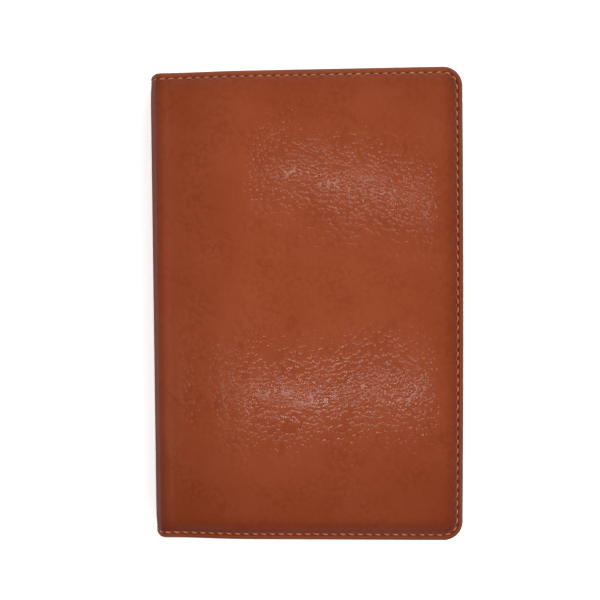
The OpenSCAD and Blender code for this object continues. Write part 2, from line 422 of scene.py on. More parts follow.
@dataclass
class Surface:
    """Vertices, faces, a UV in the unrolled cover's metres and named values for each vertex."""

    points: Array
    faces: list[Array]
    uv: Array
    values: dict[str, Array] = field(default_factory=dict)

    def to_object(self, name: str, smooth_angle: float = 40) -> bpy.types.Object:
        """Puts the surface into a mesh object at the origin.

        Args:
            name: the piece's name.
            smooth_angle: edges sharper than this, in degrees, stay sharp.

        Returns:
            The object.
        """
        loops = np.concatenate([f.ravel() for f in self.faces]).astype(np.int32)
        sizes = np.concatenate([np.full(len(f), f.shape[1]) for f in self.faces])
        starts = np.concatenate([[0], np.cumsum(sizes)[:-1]]).astype(np.int32)
        mesh = bpy.data.meshes.new(name)
        mesh.vertices.add(len(self.points))
        mesh.vertices.foreach_set("co", self.points.astype(np.float32).ravel())
        mesh.loops.add(len(loops))
        mesh.loops.foreach_set("vertex_index", loops)
        mesh.polygons.add(len(sizes))
        mesh.polygons.foreach_set("loop_start", starts)
        mesh.update(calc_edges=True)
        layer = mesh.uv_layers.new(name="UVMap")
        layer.data.foreach_set("uv", self.uv[loops].astype(np.float32).ravel())
        for key, value in self.values.items():
            attribute = mesh.attributes.new(key, "FLOAT", "POINT")
            attribute.data.foreach_set("value", value.astype(np.float32))
        mesh.shade_smooth()
        mesh.set_sharp_from_angle(angle=math.radians(smooth_angle))
        mesh.validate()
        piece = bpy.data.objects.new(name, mesh)
        bpy.context.scene.collection.objects.link(piece)
        return piece


def join_surfaces(parts: Sequence[Surface]) -> Surface:
    """Puts several surfaces into one, without merging their points.

    Args:
        parts: surfaces without named values.

    Returns:
        The surface.
    """
    offsets = np.cumsum([0] + [len(part.points) for part in parts])
    faces = [f + at for part, at in zip(parts, offsets) for f in part.faces]
    points = np.concatenate([part.points for part in parts])
    return Surface(points, faces, np.concatenate([part.uv for part in parts]))


@dataclass(frozen=True)
class Ring:
    """One ring of a shell: its insets, its depth, its named values and how it is sampled.

    A fine ring keeps every sample of the outline, and a coarse one leaves some out.
    """

    du: float
    dy: float
    depth: Array | float
    fine: bool = True
    values: dict[str, Array] = field(default_factory=dict)


class Shell:
    """A closed sheet built from rings that run from its top, round its edge and back below."""

    def __init__(self, section: Section, side: Side, outline: Outline, dense_u: float = 0,
                 skip: int = 4) -> None:
        """Picks the samples that coarse rings keep.

        Args:
            section: the cover's section.
            side: which half the sheet lies on.
            outline: the sheet's outline.
            dense_u: coarse rings keep every sample up to this u.
            skip: past dense_u, coarse rings keep one sample in this many.
        """
        self.section, self.side, self.outline = section, side, outline
        u, _ = outline.ring(0, 0)
        half = len(u) // 2
        near = np.flatnonzero(u[:half] < dense_u)
        start = near[-1] + 1 if len(near) else 0
        kept = np.unique(np.concatenate([near, np.arange(start, half - 1, skip), [0, half - 1]]))
        self.kept = np.concatenate([kept, (2 * half - 1 - kept)[::-1]])
        self.every = np.arange(2 * half)

    def build(self, rings: Sequence[Ring]) -> Surface:
        """Joins the rings with quads, and rings of different density with fans.

        The first and the last ring are closed across y = 0, and the end at u0 is capped.

        Args:
            rings: the rings in order, from the top's middle to the underside's middle.

        Returns:
            The surface, with faces that point outwards.
        """
        keys = rings[0].values.keys()
        columns: dict[str, list[Array]] = {key: [] for key in keys}
        us, ys, depths, rows, at = [], [], [], [], 0
        for ring in rings:
            pick = self.every if ring.fine else self.kept
            u, y = self.outline.ring(ring.du, ring.dy)
            us.append(u[pick])
            ys.append(y[pick])
            depths.append(np.broadcast_to(ring.depth, u.shape)[pick])
            for key in keys:
                columns[key].append(np.broadcast_to(ring.values[key], u.shape)[pick])
            rows.append(np.arange(at, at + len(pick)))
            at += len(pick)
        faces: list[Array] = []
        for k in range(len(rings) - 1):
            faces += self._join(rows[k], rows[k + 1], rings[k].fine, rings[k + 1].fine)
        faces.append(self._across(rows[0])[:, ::-1])
        faces.append(self._across(rows[-1]))
        head = np.array([row[0] for row in rows])
        tail = np.array([row[-1] for row in rows])
        faces.append(np.concatenate([head, tail[::-1]])[None])
        if self.side is Side.BACK:
            faces = [f[:, ::-1] for f in faces]
        u, y = np.concatenate(us), np.concatenate(ys)
        points = self.section.place(self.side, u, y, np.concatenate(depths))
        uv = np.stack([u * self.side.sign, y], 1)
        return Surface(points, faces, uv, {k: np.concatenate(v) for k, v in columns.items()})

    def _join(self, a: Array, b: Array, a_fine: bool, b_fine: bool) -> list[Array]:
        """Makes the faces between two rings; where one is coarser, each of its spans takes a fan.

        Args:
            a: the first ring's vertices.
            b: the next ring's vertices.
            a_fine: whether the first ring keeps every sample.
            b_fine: whether the next ring does.

        Returns:
            Arrays of faces.
        """
        if a_fine == b_fine:
            return [np.stack([a[:-1], a[1:], b[1:], b[:-1]], 1)]
        coarse, fine = (b, a) if a_fine else (a, b)
        faces = []
        spans = np.diff(self.kept)
        for span in np.unique(spans):
            at = np.flatnonzero(spans == span)
            c0, c1, f0 = coarse[at], coarse[at + 1], self.kept[at]
            middle = (span + 1) // 2
            for j in range(span):
                corner = c0 if j < middle else c1
                faces.append(np.stack([fine[f0 + j], fine[f0 + j + 1], corner], 1))
            faces.append(np.stack([c0, fine[f0 + middle], c1], 1))
        if not a_fine:
            faces = [f[:, ::-1] for f in faces]
        return faces

    @staticmethod
    def _across(row: Array) -> Array:
        """Closes one ring with quads between its head half and its tail half.

        Args:
            row: the ring's vertices.

        Returns:
            The faces.
        """
        half = len(row) // 2
        head, tail = row[:half], row[::-1][:half]
        return np.stack([head[:-1], head[1:], tail[1:], tail[:-1]], 1)


# ---------------------------------------------------------------- shader building


class Graph:
    """Adds nodes to a tree, and links or sets their sockets in one call."""

    def __init__(self, tree: bpy.types.NodeTree) -> None:
        """Keeps the node tree of a material, a group or a world."""
        self.tree = tree

    def feed(self, socket: Socket, value: object) -> None:
        """Links an input, or sets it.

        Args:
            socket: the input.
            value: the output socket that feeds it, or a number, a vector or a colour.
        """
        if isinstance(value, Socket):
            self.tree.links.new(value, socket)
        elif socket.type == "RGBA" and len(value) == 3:
            socket.default_value = (*value, 1)
        else:
            socket.default_value = value

    def node(self, kind: str, inputs: dict[str | int, object] | None = None,
             **settings: object) -> bpy.types.Node:
        """Adds a node.

        Args:
            kind: the node's type, such as ShaderNodeMath.
            inputs: socket name or index to a value, or to the output socket that feeds it.
            settings: the node's own properties.

        Returns:
            The node.
        """
        node = self.tree.nodes.new(kind)
        for key, value in settings.items():
            setattr(node, key, value)
        for key, value in (inputs or {}).items():
            self.feed(node.inputs[key], value)
        return node

    def maths(self, operation: str, *values: object, clamp: bool = False) -> Socket:
        """A Math node's result for one, two or three values or sockets."""
        inputs = dict(enumerate(values))
        return self.node("ShaderNodeMath", inputs, operation=operation, use_clamp=clamp).outputs[0]

    def scaled(self, vector: object, scale: tuple[float, float, float]) -> Socket:
        """A vector times a scale, by a Mapping node."""
        inputs = {"Vector": vector, "Scale": scale}
        return self.node("ShaderNodeMapping", inputs).outputs[0]

    def noise(self, vector: object, scale: float, detail: float = 3, roughness: float = 0.5) -> Socket:
        """A Noise texture's value."""
        inputs = {"Vector": vector, "Scale": scale, "Detail": detail, "Roughness": roughness}
        return self.node("ShaderNodeTexNoise", inputs).outputs["Fac"]

    def span(self, value: object, low: float, high: float, to_low: object = 0.0,
             to_high: object = 1.0) -> Socket:
        """Carries a value smoothly from one range to another, and holds it at its ends.

        Args:
            value: the value.
            low: the range's start.
            high: the range's end.
            to_low: the result up to the start.
            to_high: the result from the end.

        Returns:
            The result.
        """
        inputs = {"Value": value, "From Min": low, "From Max": high, "To Min": to_low, "To Max": to_high}
        node = self.node("ShaderNodeMapRange", inputs, interpolation_type="SMOOTHSTEP")
        return node.outputs["Result"]

    def mix(self, factor: object, a: object, b: object, mode: str = "MIX") -> Socket:
        """A mix of two colours."""
        inputs = {0: factor, 6: a, 7: b}
        return self.node("ShaderNodeMix", inputs, data_type="RGBA", blend_type=mode).outputs[2]

    def bump(self, height: object, depth: float, normal: Socket | None = None) -> Socket:
        """Bends the normal.

        Args:
            height: a height of 0 to 1.
            depth: what a height of 1 stands for, in metres.
            normal: the normal under this one, if it is bent already.

        Returns:
            The normal.
        """
        inputs = {"Height": height, "Distance": depth, "Strength": 1.0}
        if normal is not None:
            inputs["Normal"] = normal
        return self.node("ShaderNodeBump", inputs).outputs[0]

    def value(self, name: str) -> Socket:
        """A named value that is stored at the mesh's points."""
        return self.node("ShaderNodeAttribute", attribute_name=name).outputs["Fac"]

    def group(self, tree: bpy.types.NodeTree, inputs: dict[str, object]) -> bpy.types.Node:
        """Places a node group, with its own inputs."""
        return self.node("ShaderNodeGroup", inputs, node_tree=tree)


def new_group(name: str, inputs: dict[str, float | None],
              outputs: Sequence[str]) -> tuple[Graph, bpy.types.Node, bpy.types.Node]:
    """Starts a shader node group.

    Args:
        name: the group's name.
        inputs: socket name to its default value; a vector's default is None.
        outputs: names of the values that it puts out.

    Returns:
        The graph, the group's input node and its output node.
    """
    tree = bpy.data.node_groups.new(name, "ShaderNodeTree")
    for key, default in inputs.items():
        kind = "NodeSocketVector" if default is None else "NodeSocketFloat"
        socket = tree.interface.new_socket(key, in_out="INPUT", socket_type=kind)
        if default is not None:
            socket.default_value = default
    for key in outputs:
        tree.interface.new_socket(key, in_out="OUTPUT", socket_type="NodeSocketFloat")
    return Graph(tree), tree.nodes.new("NodeGroupInput"), tree.nodes.new("NodeGroupOutput")


class Effects:
    """Node groups that more than one finish uses, each built once."""

    _made: ClassVar[dict[str, bpy.types.NodeTree]] = {}

    @classmethod
    def _once(cls, name: str, build: Callable[[str], bpy.types.NodeTree]) -> bpy.types.NodeTree:
        """Builds a group the first time that it is asked for.

        Args:
            name: the group's name.
            build: the method that builds it.

        Returns:
            The group.
        """
        if name not in cls._made:
            cls._made[name] = build(name)
        return cls._made[name]

    @classmethod
    def grain(cls) -> bpy.types.NodeTree:
        """Pebbled leather grain: warped cells, each a low dome, that meet in creases."""
        return cls._once("leather_grain", cls._build_grain)

    @staticmethod
    def _build_grain(name: str) -> bpy.types.NodeTree:
        """Builds the grain.

        A cell's height is 1 less 2.2 times the square of the distance from its middle, held
        between 0 and 1. Soft patches make the grain flatter here and there.

        Args:
            name: the group's name.

        Returns:
            The group.
        """
        g, start, end = new_group(name, {"Vector": None, "Scale": 460.0}, ("Height", "Crease", "Tone"))
        vector, scale = start.outputs["Vector"], start.outputs["Scale"]
        warp = g.node("ShaderNodeTexNoise", {"Vector": vector, "Scale": 260.0, "Detail": 2.0})
        moved = g.node("ShaderNodeVectorMath", {0: warp.outputs["Color"], 1: (0.5, 0.5, 0.5)},
                       operation="SUBTRACT").outputs[0]
        moved = g.node("ShaderNodeVectorMath", {0: moved, "Scale": 1.6 * MM}, operation="SCALE").outputs[0]
        moved = g.node("ShaderNodeVectorMath", {0: moved, 1: vector}, operation="ADD").outputs[0]
        cells = g.node("ShaderNodeTexVoronoi", {"Vector": moved, "Scale": scale}).outputs["Distance"]
        fall = g.maths("MULTIPLY", g.maths("MULTIPLY", cells, cells), -2.2)
        dome = g.maths("ADD", fall, 1.0, clamp=True)
        patches = g.span(g.noise(vector, 55.0, 3.0), 0.36, 0.64, 0.75, 1.0)
        g.feed(end.inputs["Height"], g.maths("MULTIPLY", dome, patches))
        g.feed(end.inputs["Crease"], g.maths("MULTIPLY", g.span(cells, 0.45, 0.70), patches))
        g.feed(end.inputs["Tone"], g.noise(vector, 34.0, 5.0, 0.6))
        return g.tree

    @classmethod
    def weave(cls) -> bpy.types.NodeTree:
        """Plain weave: two sets of rounded threads that pass over each other by turns."""
        return cls._once("plain_weave", cls._build_weave)

    @staticmethod
    def _build_weave(name: str) -> bpy.types.NodeTree:
        """Builds the weave: a half plus half the product of a sine across and a sine along.

        Args:
            name: the group's name.

        Returns:
            The group.
        """
        g, start, end = new_group(name, {"Vector": None, "Threads": 2200.0}, ("Height", "Tone"))
        parts = g.node("ShaderNodeSeparateXYZ", {0: start.outputs["Vector"]})
        waves = []
        for axis in (0, 1):
            phase = g.maths("MULTIPLY", parts.outputs[axis], start.outputs["Threads"])
            waves.append(g.maths("SINE", g.maths("MULTIPLY", phase, math.pi)))
        over = g.maths("MULTIPLY", waves[0], waves[1])
        g.feed(end.inputs["Height"], g.maths("MULTIPLY_ADD", over, 0.5, 0.5))
        g.feed(end.inputs["Tone"], g.noise(start.outputs["Vector"], 900.0, 3.0))
        return g.tree

    @classmethod
    def fibres(cls) -> bpy.types.NodeTree:
        """Paper fibres: short streaks in two directions and a soft cloudiness."""
        return cls._once("paper_fibres", cls._build_fibres)

    @staticmethod
    def _build_fibres(name: str) -> bpy.types.NodeTree:
        """Builds the fibres: the higher of a noise drawn out along and one drawn out across.

        Args:
            name: the group's name.

        Returns:
            The group.
        """
        g, start, end = new_group(name, {"Vector": None}, ("Height", "Tone"))
        vector = start.outputs["Vector"]
        along = g.noise(g.scaled(vector, (1.0, 6.0, 1.0)), 700.0, 4.0)
        across = g.noise(g.scaled(vector, (6.0, 1.0, 1.0)), 700.0, 4.0)
        g.feed(end.inputs["Height"], g.maths("MAXIMUM", along, across))
        g.feed(end.inputs["Tone"], g.noise(vector, 120.0, 4.0))
        return g.tree


class Place(Enum):
    """What a finish's pattern is laid out on."""

    UNROLLED = "UV"
    OBJECT = "Object"


def start_material(name: str, roughness: float, place: Place,
                   specular: float = 0.5) -> tuple[bpy.types.Material, Graph, bpy.types.Node, Socket]:
    """Starts a material with a Principled surface.

    Args:
        name: the material's name.
        roughness: the surface's plain roughness.
        place: what the pattern is laid out on.
        specular: the surface's specular level.

    Returns:
        The material, its graph, its Principled node and the pattern's vector.
    """
    material = bpy.data.materials.new(name)
    material.use_nodes = True
    graph = Graph(material.node_tree)
    shader = material.node_tree.nodes["Principled BSDF"]
    shader.inputs["Roughness"].default_value = roughness
    shader.inputs["Specular IOR Level"].default_value = specular
    vector = graph.node("ShaderNodeTexCoord").outputs[place.value]
    return material, graph, shader, vector


def dress(piece: bpy.types.Object, material: bpy.types.Material) -> None:
    """Gives a piece one material.

    Args:
        piece: the object.
        material: its finish.
    """
    piece.data.materials.clear()
    piece.data.materials.append(material)


# ---------------------------------------------------------------- finishes


@dataclass(frozen=True)
class CoverLeather:
    """Tan leather with pebbled grain, a paler rim, and painted shade on the folds, the edges, the tail and
    in the stitch holes.

    A seamed leather reads the values for painted shade, rim, hole and panel at its mesh's points; the hole
    value is painted shade in the stitch holes and the seam's groove. panel is 1 where it is polished, 0 on
    the margins (roughness dull) and -1 on the spine's bow, which is rougher still by bow_dull.
    """

    name: str = "cover_leather"
    base: Colour = (0.290, 0.059, 0.021)
    light: Colour = (0.310, 0.067, 0.026)
    # dark is the colour of painted shade: in the grain's creases, and on the folds, the edges and the tail
    dark: Colour = (0.080, 0.006, 0.001)
    rim: Colour = (0.300, 0.070, 0.020)
    # hole is the colour of the painted shade in the stitch holes and the seam's groove
    hole: Colour = (0.150, 0.022, 0.004)
    roughness: float = 0.058
    dull: float = 0.30
    bow_dull: float = 0.45
    specular: float = 0.22
    grain_scale: float = 460.0
    grain_depth: float = 0.032 * MM
    wave_depth: float = 0.03 * MM
    seamed: bool = True

    @classmethod
    def for_pockets(cls) -> "CoverLeather":
        """The thinner, duller leather of the sleeves and the card slots.

        Returns:
            The finish.
        """
        return cls("pocket_leather", base=(0.200, 0.046, 0.018), light=(0.245, 0.062, 0.026),
                   dark=(0.07, 0.014, 0.006), roughness=0.34, grain_scale=900.0,
                   grain_depth=0.06 * MM, seamed=False)

    def build(self) -> bpy.types.Material:
        """Builds the material.

        Returns:
            The material.
        """
        material, g, shader, vector = start_material(
            self.name, self.roughness, Place.UNROLLED, self.specular)
        grain = g.group(Effects.grain(), {"Vector": vector, "Scale": self.grain_scale})
        height, crease, tone = (grain.outputs[k] for k in ("Height", "Crease", "Tone"))
        colour = g.mix(g.span(tone, 0.36, 0.66), self.base, self.light)
        # painted shade in the grain's creases, stronger in patches
        crease_shade = g.span(g.noise(vector, 60.0, 2.0), 0.42, 0.62, 0.05, 0.15)
        colour = g.mix(g.maths("MULTIPLY", crease, crease_shade), colour, self.dark)
        low, high = self.roughness - 0.01, self.roughness + 0.03
        rough = g.span(g.noise(vector, 90.0, 4.0), 0.3, 0.7, low, high)
        if self.seamed:
            colour = g.mix(g.value("rim"), colour, self.rim)
            # painted shade: darker on the spine's bow, beside the seam, along the rolled edge and most of
            # all at the tail
            colour = g.mix(g.value("painted_shade"), colour, self.dark)
            # painted shade in the stitch holes and the seam's groove
            colour = g.mix(g.value("hole"), colour, self.hole)
            rough = g.span(g.value("panel"), 0.0, 1.0, self.dull, rough)
            rough = g.maths("ADD", rough, g.span(g.value("panel"), -1.0, 0.0, self.bow_dull, 0.0))
        waves = g.bump(g.noise(vector, 38.0, 2.0), self.wave_depth)
        g.feed(shader.inputs["Base Color"], colour)
        g.feed(shader.inputs["Roughness"], rough)
        g.feed(shader.inputs["Normal"], g.bump(height, self.grain_depth, waves))
        return material


@dataclass(frozen=True)
class LiningCloth:
    """Close-woven lining cloth, darker between its threads."""

    name: str = "lining_cloth"
    base: Colour = (0.115, 0.048, 0.024)
    light: Colour = (0.185, 0.085, 0.045)
    threads: float = 2200.0
    thread_depth: float = 0.08 * MM
    sheen: float = 0.25

    def build(self) -> bpy.types.Material:
        """Builds the material.

        Returns:
            The material.
        """
        material, g, shader, vector = start_material(self.name, 0.85, Place.UNROLLED, 0.25)
        weave = g.group(Effects.weave(), {"Vector": vector, "Threads": self.threads})
        colour = g.mix(g.span(weave.outputs["Tone"], 0.3, 0.7), self.base, self.light)
        shade = g.maths("MULTIPLY", g.maths("SUBTRACT", 1.0, weave.outputs["Height"]), 0.45)
        g.feed(shader.inputs["Base Color"], g.mix(shade, colour, self.base, "MULTIPLY"))
        g.feed(shader.inputs["Normal"], g.bump(weave.outputs["Height"], self.thread_depth))
        shader.inputs["Sheen Weight"].default_value = self.sheen
        return material


@dataclass(frozen=True)
class SewingThread:
    """Waxed sewing thread: two plies twisted along each stitch."""

    name: str = "sewing_thread"
    base: Colour = (0.560, 0.155, 0.046)
    dark: Colour = (0.230, 0.050, 0.013)
    turns: float = 5.0
    ply_depth: float = 0.09 * MM

    def build(self) -> bpy.types.Material:
        """Builds the material.

        Returns:
            The material.
        """
        material, g, shader, vector = start_material(self.name, 0.5, Place.UNROLLED)
        parts = g.node("ShaderNodeSeparateXYZ", {0: vector})
        phase = g.maths("MULTIPLY_ADD", parts.outputs[0], self.turns, parts.outputs[1])
        ply = g.maths("ABSOLUTE", g.maths("SINE", g.maths("MULTIPLY", phase, 2 * math.pi)))
        # painted shade in the grooves between the two plies
        g.feed(shader.inputs["Base Color"], g.mix(g.span(ply, 0.0, 0.55), self.dark, self.base))
        g.feed(shader.inputs["Normal"], g.bump(ply, self.ply_depth))
        return material


@dataclass(frozen=True)
class CardBoard:
    """Stiff card with fibres and flecks."""

    name: str = "cover_card"
    base: Colour = (0.500, 0.345, 0.190)
    fleck: Colour = (0.270, 0.165, 0.080)
    fibre_depth: float = 0.05 * MM
    place: Place = Place.UNROLLED

    @classmethod
    def grey(cls) -> "CardBoard":
        """The grey board that stiffens the cover."""
        return cls("grey_board", (0.24, 0.215, 0.175), (0.12, 0.105, 0.08), place=Place.OBJECT)

    def build(self) -> bpy.types.Material:
        """Builds the material.

        Returns:
            The material.
        """
        material, g, shader, vector = start_material(self.name, 0.8, self.place, 0.3)
        fibres = g.group(Effects.fibres(), {"Vector": vector})
        flecks = g.span(fibres.outputs["Height"], 0.62, 0.76)
        colour = g.mix(g.maths("MULTIPLY", flecks, 0.55), self.base, self.fleck)
        cloud = g.span(fibres.outputs["Tone"], 0.3, 0.7, 0.0, 0.18)
        g.feed(shader.inputs["Base Color"], g.mix(cloud, colour, self.fleck))
        g.feed(shader.inputs["Normal"], g.bump(fibres.outputs["Height"], self.fibre_depth))
        return material


@dataclass(frozen=True)
class Foam:
    """Open-celled padding foam."""

    name: str = "padding_foam"
    base: Colour = (0.72, 0.69, 0.60)
    dark: Colour = (0.48, 0.44, 0.36)
    cell_scale: float = 1800.0
    cell_depth: float = 0.1 * MM

    def build(self) -> bpy.types.Material:
        """Builds the material.

        Returns:
            The material.
        """
        material, g, shader, vector = start_material(self.name, 0.95, Place.OBJECT, 0.2)
        inputs = {"Vector": vector, "Scale": self.cell_scale}
        cells = g.node("ShaderNodeTexVoronoi", inputs).outputs["Distance"]
        g.feed(shader.inputs["Base Color"], g.mix(g.span(cells, 0.2, 0.7), self.base, self.dark))
        g.feed(shader.inputs["Normal"], g.bump(cells, self.cell_depth))
        return material


@dataclass(frozen=True)
class PagePaper:
    """Cream writing paper with fine feint lines on its upward faces."""

    name: str = "page_paper"
    base: Colour = (0.74, 0.70, 0.58)
    cloud: Colour = (0.62, 0.56, 0.44)
    line: Colour = (0.30, 0.33, 0.38)
    line_gap: float = 7 * MM
    line_width: float = 0.25 * MM
    fibre_depth: float = 0.03 * MM

    def build(self) -> bpy.types.Material:
        """Builds the material.

        Returns:
            The material.
        """
        material, g, shader, vector = start_material(self.name, 0.85, Place.OBJECT, 0.25)
        fibres = g.group(Effects.fibres(), {"Vector": vector})
        cloud = g.span(fibres.outputs["Tone"], 0.3, 0.7, 0.0, 0.12)
        colour = g.mix(cloud, self.base, self.cloud)
        parts = g.node("ShaderNodeSeparateXYZ", {0: vector})
        place = g.maths("PINGPONG", parts.outputs[1], self.line_gap / 2)
        on_line = g.maths("LESS_THAN", place, self.line_width / 2)
        normal = g.node("ShaderNodeSeparateXYZ", {0: g.node("ShaderNodeTexCoord").outputs["Normal"]})
        facing = g.maths("GREATER_THAN", normal.outputs[2], 0.7)
        colour = g.mix(g.maths("MULTIPLY", on_line, facing), colour, self.line)
        g.feed(shader.inputs["Base Color"], colour)
        g.feed(shader.inputs["Normal"], g.bump(fibres.outputs["Height"], self.fibre_depth))
        return material


@dataclass(frozen=True)
class SpineTape:
    """Starched cloth tape along the page block's spine, its weave turned to lie along Z."""

    name: str = "spine_tape"
    base: Colour = (0.060, 0.022, 0.012)
    light: Colour = (0.105, 0.042, 0.022)
    threads: float = 1600.0
    thread_depth: float = 0.1 * MM

    def build(self) -> bpy.types.Material:
        """Builds the material.

        Returns:
            The material.
        """
        material, g, shader, vector = start_material(self.name, 0.8, Place.OBJECT, 0.3)
        inputs = {"Vector": vector, "Rotation": (0, math.pi / 2, 0)}
        turned = g.node("ShaderNodeMapping", inputs).outputs[0]
        weave = g.group(Effects.weave(), {"Vector": turned, "Threads": self.threads})
        # painted shade between the threads, lighter on their raised tops
        g.feed(shader.inputs["Base Color"], g.mix(weave.outputs["Height"], self.base, self.light))
        g.feed(shader.inputs["Normal"], g.bump(weave.outputs["Height"], self.thread_depth))
        return material


# ---------------------------------------------------------------- the cover


@dataclass(frozen=True)
class Stitch:
    """One lock stitch: its length and its thread's radius, in metres, and shares of that radius.

    The ends are thinned to end_share and sunk by sink, and the middle stands up by arch less
    sink. lean is the share of the length by which a stitch slants across the seam.
    """

    length: float
    radius: float
    end_share: float = 0.35
    arch: float = 1.25
    sink: float = 0.85
    lean: float = 0.12


class Stitcher:
    """Sews a row of lock stitches along an outline's seam, as one mesh."""

    RINGS = 7
    SIDES = 6

    def __init__(self, section: Section, side: Side, outline: Outline) -> None:
        """Divides the seam into whole stitches.

        Args:
            section: the cover's section.
            side: which half the seam is on.
            outline: the half's outline.
        """
        self.section, self.side, self.outline = section, side, outline
        self.inset = section.sizes.stitch_inset
        total = outline.seam_total(self.inset)
        self.count = round(total / section.sizes.stitch_pitch)
        self.pitch = total / self.count

    def sew(self, face: Callable[[Array], Array], outwards: float, stitch: Stitch) -> Surface:
        """Lays a stitch between each two holes.

        A stitch is a tube along t, from -1/2 to 1/2 of its length: its axis rises from below the
        face at the holes by a power of the cosine of pi t, and its radius swells by the root of
        that cosine.

        Args:
            face: the depth of the face under the thread, from u.
            outwards: +1 if the thread lies on the outer side of that face, else -1.
            stitch: the stitch's shape.

        Returns:
            The row's surface.
        """
        number = np.arange(self.count)
        middle = np.tile((number + 0.5) * self.pitch, 2)[:, None, None]
        end = np.repeat([1.0, -1.0], self.count)[:, None, None]
        t = np.linspace(-0.5, 0.5, self.RINGS)[None, :, None]
        turn = np.linspace(0, 2 * np.pi, self.SIDES, endpoint=False)[None, None, :]
        swell = stitch.end_share + (1 - stitch.end_share) * np.cos(np.pi * t) ** 0.5
        thick = stitch.radius * swell
        arch = np.cos(np.pi * t) ** 0.6
        p = middle + t * stitch.length
        lateral = thick * np.cos(turn) + stitch.lean * t * stitch.length
        u, y = self.outline.at(p, end, self.inset, lateral + 0 * p)
        rise = stitch.radius * (stitch.arch * arch - stitch.sink) + 0.8 * thick * np.sin(turn)
        points = self.section.place(self.side, u, y, face(u) - outwards * rise)
        uv = np.stack(np.broadcast_arrays(t + 0.5, turn / (2 * np.pi) + 0 * t), -1)
        uv = np.broadcast_to(uv, (2 * self.count, self.RINGS, self.SIDES, 2))
        ids = np.arange(points[..., 0].size).reshape(points.shape[:-1])
        flip = (end[:, 0, 0] * self.side.sign * outwards) < 0
        return Surface(points.reshape(-1, 3), self._tubes(ids, flip), uv.reshape(-1, 2))

    @staticmethod
    def _tubes(ids: Array, flip: Array) -> list[Array]:
        """Makes the walls and the end caps of every stitch.

        Args:
            ids: vertices, by stitch, ring and side.
            flip: the stitches whose faces have to be turned over.

        Returns:
            Arrays of faces that point outwards.
        """
        after = np.roll(ids, -1, axis=2)
        walls = np.stack([ids[:, :-1], after[:, :-1], after[:, 1:], ids[:, 1:]], -1)
        walls = walls.reshape(len(ids), -1, 4)
        walls[flip] = walls[flip][..., ::-1]
        caps = [ids[:, 0, ::-1], ids[:, -1, :]]
        for cap in caps:
            cap[flip] = cap[flip][..., ::-1]
        return [walls.reshape(-1, 4), *caps]


@dataclass(frozen=True)
class EdgeShape:
    """How the leather is pressed along its seam and rolled round its edge, in metres.

    hem lists the inset and the depth of the turned hem, from the rolled edge to its cut end.
    """

    roll: float = 0.85 * MM
    groove_width: float = 0.5 * MM
    groove_depth: float = 0.12 * MM
    hole_width: float = 0.45 * MM
    hole_length: float = 0.85 * MM
    hole_depth: float = 0.26 * MM
    bead_inset: float = 1.5 * MM
    bead_width: float = 0.6 * MM
    bead_height: float = 0.12 * MM
    rim_inset: float = 1.7 * MM
    rim_width: float = 1.1 * MM
    # where the painted shadow along the rolled edge starts, and its ramp
    dark_inset: float = 1.0 * MM
    dark_ramp: float = 0.7 * MM
    hem: tuple[tuple[float, float], ...] = (
        (1.6 * MM, 3.0 * MM), (3.0 * MM, 3.0 * MM), (5.0 * MM, 3.0 * MM),
        (5.4 * MM, 2.7 * MM), (5.8 * MM, 1.7 * MM), (7.4 * MM, 1.0 * MM))


@dataclass(frozen=True)
class PadShape:
    """How the pad shows through the leather, in metres.

    The leather lifts past start, over about reach. The board ends in a gutter, at gutter_past
    from the fold's centre. The leather is polished from polish_start on, and the spine's bow is
    dull up to bow_end, each changing over its ramp.
    """

    start: float = 3.0 * MM
    reach: float = 3.8 * MM
    power: float = 1.6
    gutter_past: float = 3.4 * MM
    gutter_width: float = 1.1 * MM
    gutter_depth: float = 0.10 * MM
    polish_start: float = 11 * MM
    polish_ramp: float = 12 * MM
    bow_end: float = 8 * MM
    bow_ramp: float = 4 * MM


